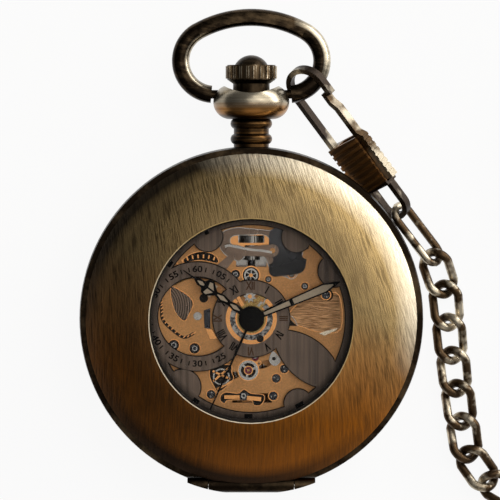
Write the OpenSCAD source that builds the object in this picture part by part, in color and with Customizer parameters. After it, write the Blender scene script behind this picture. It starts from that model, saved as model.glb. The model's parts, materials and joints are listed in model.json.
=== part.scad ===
// Half-hunter pocket watch, lying on its back with the dial up.
// Frame: +Z out of the dial, +Y towards the crown, origin at the centre of the flat case back.

/* [Case] */
// Largest diameter of the case band
case_d = 47; // [45:0.5:52]
// Height of the case band
band_h = 5.8; // [5.4:0.1:7]
// How far the band bulges past its own edges
band_bulge = 0.2; // [0.15:0.05:0.4]
// Height of the snap-on back
back_h = 2.6; // [2.4:0.1:3.4]
// Diameter of the flat resting face of the back
back_flat_d = 28; // [20:1:34]
// Angle at which the domed back leaves its flat, in degrees
back_foot_angle = 5; // [2:1:8]
// Sheet thickness of the back and of the lid
sheet_t = 0.8; // [0.6:0.05:0.9]
// Thickness of the band's wall at its edges
band_wall = 2.7; // [2.5:0.1:2.9]

/* [Lid] */
// How far the lid's edge sits inside the band's largest radius
lid_inset = 1.0; // [0.9:0.1:1.2]
// Height of the closed lid above the band
lid_h = 5.0; // [4.8:0.1:6]
// Height of the lid's upright edge
lid_edge_h = 1.15; // [0.9:0.05:1.5]
// Diameter of the window in the lid
window_d = 27.8; // [25:0.2:29]
// Thickness of both crystals
crystal_t = 0.8; // [0.6:0.05:0.9]
// Radius of the hinge knuckles
knuckle_r = 1.0; // [0.9:0.05:1.1]
// Length of the middle knuckle
knuckle_mid = 11.6; // [9:0.2:13]
// Length of each outer knuckle
knuckle_end = 2.9; // [2.2:0.1:3.6]
// Radius of the hinge pin
hinge_pin_r = 0.45; // [0.35:0.05:0.5]

/* [Pendant and bow] */
// Half width of the pendant ball
ball_r = 5.2; // [4.9:0.1:5.4]
// Radius of the bow's side bends along the wire's middle
bow_side_r = 4.6; // [4.2:0.1:5]
// Width of the bow across the middle of its wire
bow_w = 19.3; // [18.5:0.1:21]
// Height from the bow's pivots to the middle of its top wire
bow_h = 10.5; // [10.2:0.1:12]
// Diameter of the bow wire
bow_wire_d = 2.4; // [2:0.1:2.6]
// Thickness of the bow wire where it is flattened
bow_wire_t = 2.0; // [1.7:0.1:2.2]
// Radius of the bow's two pivots
bow_pivot_r = 0.6; // [0.45:0.05:0.7]

/* [Crown] */
// Diameter over the crown's knurl
crown_d = 7.0; // [6:0.1:7.4]
// Number of flutes round the crown
crown_flutes = 22; // [16:1:28]
// Travel of the crown when it is pressed
crown_press = 0.7; // [0.5:0.1:0.8]
// Radius of the winding stem
stem_r = 0.5; // [0.4:0.05:0.55]

/* [Movement] */
// Diameter of the mainplate
plate_d = 31; // [30.6:0.1:31.4]
// Thickness of the mainplate
plate_t = 1.2; // [1:0.05:1.3]
// Thickness of the bridges
bridge_t = 0.7; // [0.5:0.05:0.8]
// Thickness of the dial
dial_t = 0.4; // [0.3:0.05:0.5]
// Thickness of the hands
hand_t = 0.18; // [0.12:0.02:0.22]
// Radius of the train arbors
arbor_r = 0.16; // [0.12:0.01:0.18]
// Free gap of turning fits, on the radius
run_fit = 0.03; // [0.02:0.01:0.05]
// Free gap of pieces that are put together and stay still
seat_fit = 0.05; // [0.03:0.01:0.08]

/* [Springs] */
// Coil pitch of the mainspring
mainspring_pitch = 0.62; // [0.58:0.01:0.66]
// Thickness of the mainspring strip
mainspring_t = 0.15; // [0.1:0.01:0.16]
// Coil pitch of the hairspring
hairspring_pitch = 0.52; // [0.5:0.01:0.56]
// Thickness of the hairspring strip
hairspring_t = 0.08; // [0.06:0.01:0.08]

/* [Chain] */
// Diameter of the link wire
link_wire_d = 1.25; // [1.15:0.05:1.3]
// Length that each link adds to the chain
link_pitch = 4.6; // [4.5:0.05:4.8]
// Width of a link across the middle of its wire
link_w = 3.7; // [3.6:0.05:3.9]
// Free play of one link in the next, along the chain
link_slack = 0.25; // [0.15:0.05:0.3]
// Number of links in the coiled tail
tail_links = 45; // [43:1:46]
// Half width of the clasp loop along the middle of its strip
clasp_w = 2.85; // [2.75:0.05:2.95]
// Thickness of the clasp strip
clasp_t = 0.75; // [0.65:0.05:0.8]
// Width of the clasp strip
clasp_strip = 1.1; // [0.9:0.05:1.2]
// Length of the clasp
clasp_len = 25.5; // [24:0.1:27]
// Length of the buttonhole bar at the far end
bar_len = 19.5; // [18:0.5:22]
// Radius of the buttonhole bar
bar_r = 1.1; // [0.9:0.05:1.3]
// Radius of the balls on the ends of the bar
bar_ball_r = 1.55; // [1.5:0.05:1.7]

/* [Hidden] */
$fn = 64;
VISIBLE_LINKS = 6;

bronze = "#8a7238";
dark_bronze = "#4d3d22";
steel = "#a8a8a4";
dark_steel = "#3a3a3c";
copper = "#b87a3c";
brass = "#c9a24a";
dial_grey = "#55504a";
hand_black = "#1c1b1a";
glass_tint = [0.85, 0.9, 0.92, 0.35];
ruby = "#a8243c";

// Heights of the case
case_r = case_d / 2;
edge_r = case_r - band_bulge;
bore_r = edge_r - band_wall;
band_z0 = back_h;
band_z1 = back_h + band_h;
stem_z = back_h + band_h / 2;
lid_gap = 0.1;
lid_z0 = band_z1 + lid_gap;
lid_z1 = lid_z0 + lid_h;
lid_r = case_r - lid_inset;
window_r = window_d / 2;

// Heights of the movement, from the stem's axis
plate_z0 = stem_z - plate_t / 2;
plate_z1 = stem_z + plate_t / 2;
plate_r = plate_d / 2;
dial_gap = 0.9;
dial_z = plate_z1 + dial_gap;
dial_r = plate_r + 0.5;
train_h = 2.0;
bridge_z1 = plate_z0 - train_h;
bridge_z0 = bridge_z1 - bridge_t;
winder_z1 = bridge_z0 - 0.1;
winder_t = 0.45;
winder_z0 = winder_z1 - winder_t;

// Bulging ring of the band, solid to the axis
module band_solid(grow = 0) {
    half = band_h / 2;
    arc_r = (half * half + band_bulge * band_bulge) / (2 * band_bulge);
    rotate_extrude($fn = 128)
        intersection() {
            translate([case_r - arc_r, stem_z]) circle(arc_r + grow, $fn = 128);
            translate([0, band_z0]) square([case_r + 1, band_h]);
        }
}

// A round plate or ring on the axis
module ring(r, bore, z, h) {
    translate([0, 0, z])
        difference() {
            cylinder(r = r, h = h, $fn = 128);
            if (bore > 0) translate([0, 0, -1]) cylinder(r = bore, h = h + 2, $fn = 128);
        }
}

// A slice of a ring between two clock-hand angles, counted anticlockwise from +X
module arc_strip(r_out, r_in, from, to, z, h) {
    translate([0, 0, z])
        rotate([0, 0, from])
            rotate_extrude(angle = to - from, $fn = 128)
                translate([r_in, 0]) square([r_out - r_in, h]);
}

// Outline of a wheel with straight-sided teeth, four points to a tooth
function pitch_r(teeth, m) = teeth * m / 2;
module teeth_2d(teeth, m, turn = 0) {
    tip = pitch_r(teeth, m) + 0.85 * m;
    root = pitch_r(teeth, m) - 1.1 * m;
    step = 360 / teeth;
    polygon([for (i = [0:teeth - 1], q = [[-0.3, root], [-0.12, tip], [0.12, tip], [0.3, root]])
        q[1] * [cos(turn + (i + q[0]) * step), sin(turn + (i + q[0]) * step)]]);
}

// Train wheel with arms, or a plain disc where there is no room for them
module wheel(teeth, m, z, h, arms = 4, bore = 0, turn = 0) {
    rim = pitch_r(teeth, m) - 3.2 * m;
    hub = 0.75;
    translate([0, 0, z])
        linear_extrude(h)
            difference() {
                teeth_2d(teeth, m, turn);
                if (arms > 0)
                    difference() {
                        circle(rim);
                        circle(hub);
                        for (i = [0:arms - 1])
                            rotate(i * 360 / arms) translate([0, -0.2]) square([rim + 1, 0.4]);
                    }
                if (bore > 0) circle(bore);
            }
}

module pinion(teeth, m, z, h, bore = 0, turn = 0) {
    translate([0, 0, z])
        linear_extrude(h)
            difference() {
                teeth_2d(teeth, m, turn);
                if (bore > 0) circle(bore);
            }
}

// Case

// Hinge of the lid, across the case at six o'clock
hinge_y = -(case_r - knuckle_r + 0.1);
hinge_z = lid_z0 + 0.25;
hinge_half = knuckle_mid / 2 + knuckle_end;
knuckle_gap = 0.1;
outer_knuckles = [-hinge_half, knuckle_mid / 2];
// Filed flush with the case at its ends
flush_r = case_r + 0.35;
module along_hinge(r, from, to) {
    intersection() {
        translate([from, hinge_y, hinge_z]) rotate([0, 90, 0]) cylinder(r = r, h = to - from);
        translate([0, 0, hinge_z - 3]) cylinder(r = flush_r, h = 6, $fn = 128);
    }
}

back_lip_h = 0.9;
shelf_z = band_z0 + back_lip_h + 0.15;
shelf_t = 0.5;
shelf_w = 2.4;
pendant_tube_r = 1.9;

module case_middle() {
    color(dark_bronze)
        difference() {
            union() {
                difference() {
                    band_solid();
                    translate([0, 0, band_z0 - 1]) cylinder(r = bore_r, h = band_h + 2, $fn = 128);
                    for (x = outer_knuckles)
                        along_hinge(knuckle_r + 0.15, x - knuckle_gap, x + knuckle_end + knuckle_gap);
                }
                ring(bore_r + 0.2, bore_r - shelf_w, shelf_z, shelf_t);
                along_hinge(knuckle_r, -knuckle_mid / 2, knuckle_mid / 2);
            }
            along_hinge(hinge_pin_r + run_fit, -hinge_half - 1, hinge_half + 1);
            translate([0, bore_r - 1, stem_z])
                rotate([-90, 0, 0]) cylinder(r = pendant_tube_r + seat_fit, h = band_wall + 4);
        }
}

module case_back() {
    flat_r = back_flat_d / 2;
    run = edge_r - flat_r;
    slope = back_h * cos(back_foot_angle) - run * sin(back_foot_angle);
    arc_r = (run * run + back_h * back_h) / (2 * slope);
    arc_at = [flat_r - arc_r * sin(back_foot_angle), arc_r * cos(back_foot_angle)];
    hollow_r = arc_at[0] + sqrt(pow(arc_r - sheet_t, 2) - pow(arc_at[1] - sheet_t, 2));
    lip_r = bore_r - seat_fit;
    color(bronze)
        rotate_extrude($fn = 128) {
            difference() {
                union() {
                    square([flat_r, back_h]);
                    intersection() {
                        translate(arc_at) circle(arc_r, $fn = 256);
                        translate([flat_r - 0.01, 0]) square([run + 0.01, back_h]);
                    }
                }
                translate([0, sheet_t]) square([hollow_r, back_h]);
                intersection() {
                    translate(arc_at) circle(arc_r - sheet_t, $fn = 256);
                    translate([hollow_r - 0.01, sheet_t]) square([lip_r - sheet_t - hollow_r, back_h + 1]);
                }
            }
            translate([lip_r - sheet_t, back_h - 0.3]) square([sheet_t, back_lip_h + 0.3]);
        }
}

module hinge_pin() {
    color(steel) along_hinge(hinge_pin_r, -hinge_half, hinge_half);
}

// The spacer that carries the movement in the band
ring_top = dial_z;
spring_room = 1.6;
spacer_r = bore_r - spring_room;
ledge_t = 0.5;
module movement_ring() {
    color(brass)
        difference() {
            union() {
                ring(spacer_r, plate_r + seat_fit, shelf_z + shelf_t, ring_top - shelf_z - shelf_t);
                ring(spacer_r, plate_r - 0.5, plate_z0 - ledge_t, ledge_t);
            }
            translate([0, plate_r - 2, stem_z])
                rotate([-90, 0, 0]) cylinder(r = stem_r + 0.6, h = spacer_r - plate_r + 3);
        }
}

bezel_flange_t = 0.75;
bezel_ledge = 0.7;
glass_r = dial_r - 0.1;
glass_z = dial_z + dial_t + 1.9;
bezel_top = glass_z + crystal_t + 0.1;
module inner_bezel() {
    wall = 0.9;
    color(bronze) {
        ring(spacer_r + 0.2, dial_r + seat_fit, ring_top, bezel_flange_t);
        ring(glass_r + wall, glass_r + seat_fit, ring_top + bezel_flange_t - 0.1,
            bezel_top - ring_top - bezel_flange_t + 0.1);
        ring(glass_r + 0.2, glass_r - bezel_ledge, glass_z - 0.3, 0.3);
    }
}

module dial_crystal() {
    color(glass_tint) ring(glass_r, 0, glass_z, crystal_t);
}

// Two leaf springs lie in the groove round the spacer
leaf_r1 = bore_r - 0.35;
leaf_t = 0.75;
leaf_z = shelf_z + shelf_t + 0.1;
leaf_h = 1.7;
lock_span = 34;
module lid_lock_spring() {
    nose_h = lid_z0 + 0.75 - leaf_z;
    color(steel)
        difference() {
            union() {
                arc_strip(leaf_r1, leaf_r1 - leaf_t, 90 - lock_span, 90 + lock_span, leaf_z, leaf_h);
                for (s = [-1, 1])
                    arc_strip(leaf_r1 - 0.05, leaf_r1 - leaf_t + 0.05, 90 + s * 12 - 3, 90 + s * 12 + 3,
                        leaf_z + 0.2, nose_h - 0.2);
            }
            translate([0, leaf_r1 - 2, stem_z])
                rotate([-90, 0, 0]) cylinder(r = stem_r + 0.25, h = 4);
        }
}

lift_span = 40;
module lid_lift_spring() {
    arm_h = lid_z0 - 0.1 - leaf_z;
    color(steel) {
        arc_strip(leaf_r1, leaf_r1 - leaf_t, 270 - lift_span, 270 + lift_span, leaf_z, leaf_h);
        arc_strip(leaf_r1 - 0.05, leaf_r1 - leaf_t + 0.05, 266, 274, leaf_z + 0.2, arm_h - 0.2);
    }
}

// Lid

lid_in_r = lid_r - sheet_t;
dome_r = 11.5;
dome_a = lid_z0 + lid_edge_h;
dome_c = (dome_a + lid_z1 - ((lid_r - dome_r) ^ 2 - (window_r - dome_r) ^ 2) / (lid_z1 - dome_a)) / 2;
dome_arc = sqrt((lid_r - dome_r) ^ 2 + (dome_a - dome_c) ^ 2);
collar_t = 0.7;
collar_h = 2.0;
window_ledge = 0.35;
lid_glass_z = lid_z1 - collar_h + 0.35;

module dome_2d(arc_r, r) {
    intersection() {
        translate([dome_r, dome_c]) circle(arc_r, $fn = 192);
        translate([0, lid_z0]) square([r, lid_h + 1]);
    }
}

module front_lid() {
    color(bronze)
        difference() {
            union() {
                rotate_extrude($fn = 128) {
                    difference() {
                        dome_2d(dome_arc, lid_r);
                        dome_2d(dome_arc - sheet_t, lid_in_r);
                        square([window_r, lid_z1 + 1]);
                    }
                    intersection() {
                        dome_2d(dome_arc, lid_r);
                        translate([window_r, lid_z1 - collar_h]) square([collar_t, collar_h]);
                    }
                    translate([window_r - window_ledge, lid_z1 - collar_h])
                        square([window_ledge + collar_t, 0.35]);
                }
                for (x = outer_knuckles) along_hinge(knuckle_r, x, x + knuckle_end);
            }
            along_hinge(knuckle_r + 0.15, -knuckle_mid / 2 - knuckle_gap, knuckle_mid / 2 + knuckle_gap);
            along_hinge(hinge_pin_r + run_fit, -hinge_half - 1, hinge_half + 1);
        }
}

module lid_crystal() {
    color(glass_tint) ring(window_r - seat_fit, 0, lid_glass_z, crystal_t);
}

// Pendant, bow and crown

// Turns a profile drawn as (radius, height along Y) round the stem's axis
module turned_on_stem() {
    translate([0, 0, stem_z]) rotate([-90, 0, 0]) rotate_extrude($fn = 96) children();
}

neck_y = case_r - 0.6;
neck_r = 2.4;
bead_r = 0.75;
bead_out_r = 2.85;
lower_bead_y = case_r + 1.0;
upper_bead_y = lower_bead_y + 2.1;
ball_round = 2.35;
ball_y = upper_bead_y + 2.95;
scoop_r = 7.8;
scoop_dip = 1.25;
pivot_y = ball_y + 1.05;
sleeve_r = 1.15;
skirt_r = 2.5;
recess_depth = 1.5;
scoop_y = ball_y + scoop_dip;

module pendant() {
    color(dark_bronze)
        difference() {
            turned_on_stem() {
                translate([0, ball_y - ball_round]) square([ball_r - ball_round, 2 * ball_round]);
                translate([ball_r - ball_round, ball_y]) circle(ball_round);
                translate([bead_out_r - bead_r, upper_bead_y]) circle(bead_r);
                translate([bead_out_r - bead_r, lower_bead_y]) circle(bead_r);
                translate([0, neck_y]) square([neck_r, ball_y - neck_y]);
            }
            band_solid(0.02);
            translate([0, scoop_y + scoop_r, stem_z]) cylinder(r = scoop_r, h = 30, center = true);
            turned_on_stem() {
                translate([0, bore_r]) square([sleeve_r + run_fit, 30]);
                translate([0, scoop_y - recess_depth]) square([skirt_r + 0.12, 30]);
            }
            translate([0, pivot_y, stem_z])
                rotate([0, 90, 0]) cylinder(r = bow_pivot_r + run_fit, h = 30, center = true);
        }
    color(dark_bronze)
        turned_on_stem()
            translate([sleeve_r + run_fit, bore_r + 0.1])
                square([pendant_tube_r - sleeve_r - run_fit, neck_y - bore_r + 0.6]);
}

bow_end_turn = 5;
bow_x = bow_w / 2 - bow_side_r;
bow_y = pivot_y + bow_side_r * cos(bow_end_turn);
bow_rise = pivot_y + bow_h - bow_y;
bow_top_r = (bow_x ^ 2 + bow_rise ^ 2 - bow_side_r ^ 2) / (2 * (bow_rise - bow_side_r));
bow_top_y = pivot_y + bow_h - bow_top_r;
bow_join = atan2(bow_y - bow_top_y, bow_x);
bow_end_x = bow_x + bow_side_r * sin(bow_end_turn);

module bow_arc(r, from, to, inset = 0) {
    rotate([0, 0, from])
        rotate_extrude(angle = to - from, $fn = 96)
            translate([r, 0])
                intersection() {
                    circle(bow_wire_d / 2 - inset);
                    square([bow_wire_d + 1, bow_wire_t - 2 * inset], center = true);
                }
}

module bow() {
    hold = 1.5;
    join_inset = 0.02;
    join_lap = 0.5;
    color(dark_bronze)
        translate([0, 0, stem_z]) {
            translate([0, bow_top_y])
                bow_arc(bow_top_r, bow_join - join_lap, 180 - bow_join + join_lap, join_inset);
            translate([bow_x, bow_y]) bow_arc(bow_side_r, bow_end_turn - 90, bow_join);
            translate([-bow_x, bow_y]) bow_arc(bow_side_r, 180 - bow_join, 270 - bow_end_turn);
            for (s = [-1, 1])
                translate([s * (bow_end_x + 0.5), pivot_y])
                    rotate([0, -90 * s, 0]) cylinder(r = bow_pivot_r, h = 0.5 + hold);
        }
}

knurl_h = 2.0;
knurl_y = scoop_y + crown_press + 1.1;
cap_r = 2.25;
cap_h = 1.35;
flute_r = 0.3;
module crown() {
    cap_ball = (cap_r ^ 2 + cap_h ^ 2) / (2 * cap_h);
    color(dark_bronze) {
        difference() {
            turned_on_stem() {
                translate([0, leaf_r1 + crown_press + 0.1])
                    square([sleeve_r, knurl_y - leaf_r1 - crown_press]);
                translate([0, scoop_y - recess_depth + crown_press + 0.15])
                    square([skirt_r, knurl_y - scoop_y + recess_depth - crown_press]);
                polygon([[0, knurl_y - 0.55], [skirt_r, knurl_y - 0.55], [crown_d / 2 - 0.2, knurl_y],
                    [crown_d / 2 - 0.2, knurl_y + knurl_h], [0, knurl_y + knurl_h]]);
                intersection() {
                    translate([0, knurl_y + knurl_h + cap_h - cap_ball]) circle(cap_ball);
                    translate([0, knurl_y + knurl_h - 0.1]) square([cap_r, cap_h + 0.1]);
                }
            }
            turned_on_stem()
                translate([0, leaf_r1 - 1]) square([stem_r + run_fit, stem_end_y - leaf_r1 + 2]);
        }
        translate([0, knurl_y + 0.15, stem_z])
            rotate([-90, 0, 0])
                linear_extrude(knurl_h - 0.3)
                    difference() {
                        circle(crown_d / 2);
                        circle(crown_d / 2 - 0.4);
                        for (i = [0:crown_flutes - 1])
                            rotate((i + 0.5) * 360 / crown_flutes)
                                translate([crown_d / 2, 0]) circle(flute_r, $fn = 16);
                    }
    }
}

// Winding and setting

crown_wheel_at = [0, 7.9];
contrate_r = 3.3;
contrate_w = 0.7;
wind_pinion_r = 1.9;
wind_pinion_y = crown_wheel_at[1] + contrate_r - contrate_w / 2 - 0.5;
wind_pinion_w = 1.0;
wind_teeth = 20;
contrate_teeth = 32;
clutch_r = 1.3;
clutch_y = wind_pinion_y - 2.35;
clutch_w = 2.0;
groove_y = clutch_y + 0.85;
stem_y0 = clutch_y - 1.6;
stem_end_y = scoop_y - recess_depth - 2.0;

module winding_stem() {
    color(steel)
        turned_on_stem() translate([0, stem_y0]) square([stem_r, stem_end_y - stem_y0]);
}

module winding_pinion() {
    color(steel)
        translate([0, wind_pinion_y, stem_z])
            rotate([-90, 0, 0])
                linear_extrude(wind_pinion_w)
                    difference() {
                        teeth_2d(wind_teeth, 2 * wind_pinion_r / (wind_teeth + 1.7));
                        circle(stem_r + 0.01);
                    }
}

module sliding_pinion() {
    color(steel)
        difference() {
            translate([0, clutch_y, stem_z])
                rotate([-90, 0, 0])
                    linear_extrude(clutch_w)
                        teeth_2d(14, 2 * clutch_r / 15.7);
            turned_on_stem() {
                translate([0, clutch_y - 1]) square([stem_r + 0.01, clutch_w + 2]);
                translate([0.75, groove_y - 0.3]) square([1, 0.6]);
            }
        }
}

lever_pivot = [2.9, 9.3];
lever_z = stem_z + clutch_r + 0.1;
lever_t = 0.3;
post_r = 0.35;
module setting_lever() {
    color(steel)
        translate([0, 0, lever_z])
            linear_extrude(lever_t)
                difference() {
                    union() {
                        hull() {
                            translate(lever_pivot) circle(0.85, $fn = 32);
                            translate([-1.4, 9.15]) circle(0.55, $fn = 32);
                        }
                        hull() {
                            translate([-1.4, 9.15]) circle(0.55, $fn = 32);
                            translate([-3.5, 9.55]) circle(0.45, $fn = 32);
                        }
                    }
                    translate(lever_pivot) circle(post_r + run_fit);
                    translate([-3.5, 9.55]) circle(0.2);
                }
}

yoke_pivot = [-4.6, 6.4];
yoke_z = plate_z1 + 0.05;
module yoke() {
    color(steel)
        translate([0, 0, yoke_z])
            linear_extrude(0.28)
                difference() {
                    union() {
                        hull() {
                            translate(yoke_pivot) circle(0.75, $fn = 32);
                            translate([-2.4, groove_y - 0.2]) circle(0.42, $fn = 32);
                        }
                        translate([-2.5, groove_y - 0.13]) square([2.0, 0.26]);
                    }
                    translate(yoke_pivot) circle(post_r + run_fit);
                }
}

cover_z = plate_z1 + 0.02;
cover_t = 0.3;
module keyless_cover() {
    color(dark_steel)
        translate([0, 0, cover_z])
            linear_extrude(cover_t)
                difference() {
                    hull() {
                        translate([3.5, 11.3]) circle(1.1, $fn = 32);
                        translate([6.6, 10.2]) circle(1.3, $fn = 32);
                        translate([6.2, 7.3]) circle(1.2, $fn = 32);
                        translate([3.3, 6.6]) circle(0.9, $fn = 32);
                    }
                    translate(lever_pivot) circle(post_r + 0.1);
                    translate([2.4, 8.0]) circle(0.6);
                    translate([7.6, 8.8]) circle(0.7);
                }
}

// Movement: where the arbors stand, and the tooth counts of the train

barrel_at = [-7.35, 0.3];
third_at = [4.14, 0];
escape_at = [1.38, -3.8];
pallet_at = [0.55, -5.34];
balance_at = [-0.4, -7.1];
minute_at = [1.44, 2.49];
click_at = [-8.6, 7.2];
click_foot = [-11.0, 8.9];
barrel_teeth = 80;
centre_pinion_teeth = 10;
centre_teeth = 64;
third_pinion_teeth = 8;
third_teeth = 60;
fourth_pinion_teeth = 8;
fourth_teeth = 70;
escape_pinion_teeth = 7;
escape_teeth = 15;
cannon_teeth = 12;
minute_teeth = 36;
minute_pinion_teeth = 10;
hour_teeth = 40;
ratchet_teeth = 52;
crown_wheel_teeth = 46;

// Module of a pair of wheels from the distance between their arbors
function pair_module(from, to, a, b) = 2 * norm(to - from) / (a + b);
centre = [0, 0];
barrel_m = pair_module(barrel_at, centre, barrel_teeth, centre_pinion_teeth);
centre_m = pair_module(centre, third_at, centre_teeth, third_pinion_teeth);
third_m = pair_module(third_at, centre, third_teeth, fourth_pinion_teeth);
fourth_m = pair_module(centre, escape_at, fourth_teeth, escape_pinion_teeth);
cannon_m = pair_module(centre, minute_at, cannon_teeth, minute_teeth);
hour_m = pair_module(centre, minute_at, minute_pinion_teeth, hour_teeth);
winder_m = pair_module(barrel_at, crown_wheel_at, ratchet_teeth, crown_wheel_teeth);

// Turn of a wheel that puts its teeth into the gaps of the wheel it meets
function mesh_turn(from, to, teeth, turn, own_teeth) =
    let (aim = atan2(to[1] - from[1], to[0] - from[0]))
    aim + 180 - (0.5 - (aim - turn) * teeth / 360) * 360 / own_teeth;
centre_turn = mesh_turn(barrel_at, centre, barrel_teeth, 0, centre_pinion_teeth);
third_turn = mesh_turn(centre, third_at, centre_teeth, 0, third_pinion_teeth);
fourth_turn = mesh_turn(third_at, centre, third_teeth, 0, fourth_pinion_teeth);
escape_turn = mesh_turn(centre, escape_at, fourth_teeth, 0, escape_pinion_teeth);
minute_turn = mesh_turn(centre, minute_at, cannon_teeth, 0, minute_teeth);
hour_turn = mesh_turn(minute_at, centre, minute_pinion_teeth, 0, hour_teeth);
crown_turn = mesh_turn(barrel_at, crown_wheel_at, ratchet_teeth, 0, crown_wheel_teeth);

// Levels of the train above the bridges
train_t = 0.15;
fourth_z = bridge_z1 + 0.15;
third_z = bridge_z1 + 0.55;
escape_z = bridge_z1 + 1.1;
centre_z = plate_z0 - 0.35;
drum_z0 = bridge_z1 + 0.4;
drum_z1 = centre_z - 0.1;
drum_r = 5.7;
drum_wall = 0.4;
barrel_teeth_z = drum_z1 - 0.55;
core_r = 1.3;
barrel_pivot_r = 0.55;
minute_post_r = arbor_r + 0.1;

// Nested pipes on the centre axis, from the seconds arbor outwards
pipe_wall = 0.24;
centre_in_r = arbor_r + run_fit;
centre_out_r = centre_in_r + pipe_wall;
cannon_in_r = centre_out_r + run_fit;
cannon_out_r = cannon_in_r + pipe_wall;
hour_in_r = cannon_out_r + run_fit;
hour_out_r = hour_in_r + pipe_wall;
hand_step = 0.5;
hour_hand_z = dial_z + dial_t + 0.35;
minute_hand_z = hour_hand_z + hand_step;
second_hand_z = minute_hand_z + hand_step;

module at(p) {
    translate([p[0], p[1], 0]) children();
}

// Lens between two circles, with its points on the x axis
module lens_2d(length, width) {
    r = (length * length / 4 + width * width / 4) / width;
    intersection() {
        translate([0, r - width / 2]) circle(r, $fn = 96);
        translate([0, width / 2 - r]) circle(r, $fn = 96);
    }
}

module mainplate() {
    slot_half = wind_pinion_r + 0.2;
    color(copper) {
        difference() {
            ring(plate_r, 0, plate_z0, plate_t);
            translate([0, 0, plate_z0 - 1])
                linear_extrude(plate_t + 2) {
                    circle(centre_out_r + run_fit);
                    translate(barrel_at) circle(barrel_pivot_r + run_fit);
                    translate(third_at) circle(arbor_r + run_fit);
                    translate(escape_at) circle(arbor_r + run_fit);
                    translate(pallet_at) circle(arbor_r + run_fit);
                    translate(balance_at) circle(arbor_r + run_fit);
                    translate([-slot_half, clutch_y - 0.95])
                        square([2 * slot_half, wind_pinion_y + wind_pinion_w + 0.2 - clutch_y + 0.95]);
                    translate(barrel_at + [-2.6, 1.1]) rotate(70) lens_2d(5.2, 2.4);
                    translate(barrel_at)
                        difference() {
                            intersection() {
                                circle(drum_r + 1.0);
                                translate([-3.6, 3]) square([6.2, 5]);
                            }
                            circle(drum_r - 0.5);
                        }
                    translate(balance_at) rotate(20) translate([2.3, 0]) lens_2d(3.0, 1.0);
                    translate(balance_at) rotate(200) translate([2.3, 0]) lens_2d(3.0, 1.0);
                    translate([0.1, -10.9]) square([5.4, 1.3], center = true);
                    translate([8.8, -5.2]) rotate(-35) lens_2d(5.0, 2.0);
                }
            turned_on_stem() translate([0, stem_y0 - 0.2]) square([stem_r + run_fit, plate_r]);
        }
        at(lever_pivot) translate([0, 0, plate_z1 - 0.1])
            cylinder(r = post_r, h = lever_z + lever_t + 0.1 - plate_z1);
        at(yoke_pivot) translate([0, 0, plate_z1 - 0.1]) cylinder(r = post_r, h = 0.55);
        at(minute_at) translate([0, 0, plate_z1 - 0.1]) cylinder(r = minute_post_r, h = dial_gap - 0.05);
    }
}

module barrel() {
    color(brass)
        at(barrel_at)
            difference() {
                union() {
                    translate([0, 0, drum_z0]) cylinder(r = drum_r, h = drum_z1 - drum_z0);
                    pinion(barrel_teeth, barrel_m, barrel_teeth_z, 0.4);
                }
                translate([0, 0, drum_z0 + 0.2]) cylinder(r = drum_r - drum_wall, h = 5);
                translate([0, 0, drum_z0 - 1]) cylinder(r = barrel_pivot_r + run_fit, h = 3);
            }
}

// Flat strip wound in a spiral, one closed solid with square ends
function spiral_at(r0, pitch, a) = (r0 + pitch * a / 360) * [cos(a), sin(a)];
module spiral_strip(r0, pitch, turns, strip, z, h) {
    steps = ceil(turns * 24);
    points = [for (i = [0:steps], q = [[0, 0], [1, 0], [1, 1], [0, 1]])
        let (p = spiral_at(r0 + q[0] * strip, pitch, i * 360 * turns / steps)) [p[0], p[1], z + q[1] * h]];
    sides = [for (i = [0:steps - 1], k = [0:3])
        let (a = 4 * i + k, b = 4 * i + (k + 1) % 4) each [[a, b, b + 4], [a, b + 4, a + 4]]];
    last = 4 * steps;
    ends = [[0, 3, 2], [0, 2, 1], [last, last + 1, last + 2], [last, last + 2, last + 3]];
    polyhedron(points, concat(ends, sides));
}

// Least free gap between one turn of a spiral and the next, measured on its points
function spiral_gap(r0, pitch, turns, strip) = min([for (i = [0:24 * (turns - 1) - 1])
    norm(spiral_at(r0, pitch, (i + 24) * 15)) - norm(spiral_at(r0 + strip, pitch, i * 15))]);

mainspring_r0 = core_r + 0.25;
mainspring_room = drum_r - drum_wall - mainspring_t - 0.1 - mainspring_r0;
mainspring_turns = floor(mainspring_room / mainspring_pitch * 4) / 4;
echo(mainspring_gap = spiral_gap(mainspring_r0, mainspring_pitch, mainspring_turns, mainspring_t));
module mainspring() {
    color(steel)
        at(barrel_at)
            spiral_strip(mainspring_r0, mainspring_pitch, mainspring_turns, mainspring_t,
                drum_z0 + 0.3, drum_z1 - drum_z0 - 0.45);
}

module barrel_arbor() {
    color(steel)
        at(barrel_at) {
            translate([0, 0, drum_z0 + 0.25]) cylinder(r = core_r, h = drum_z1 - drum_z0 - 0.3);
            translate([0, 0, winder_z0 - 0.25])
                cylinder(r = barrel_pivot_r, h = plate_z1 - 0.3 - winder_z0 + 0.25);
        }
}

module ratchet_wheel() {
    color(steel)
        at(barrel_at)
            pinion(ratchet_teeth, winder_m, winder_z0, winder_t, barrel_pivot_r + 0.01);
}

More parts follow.
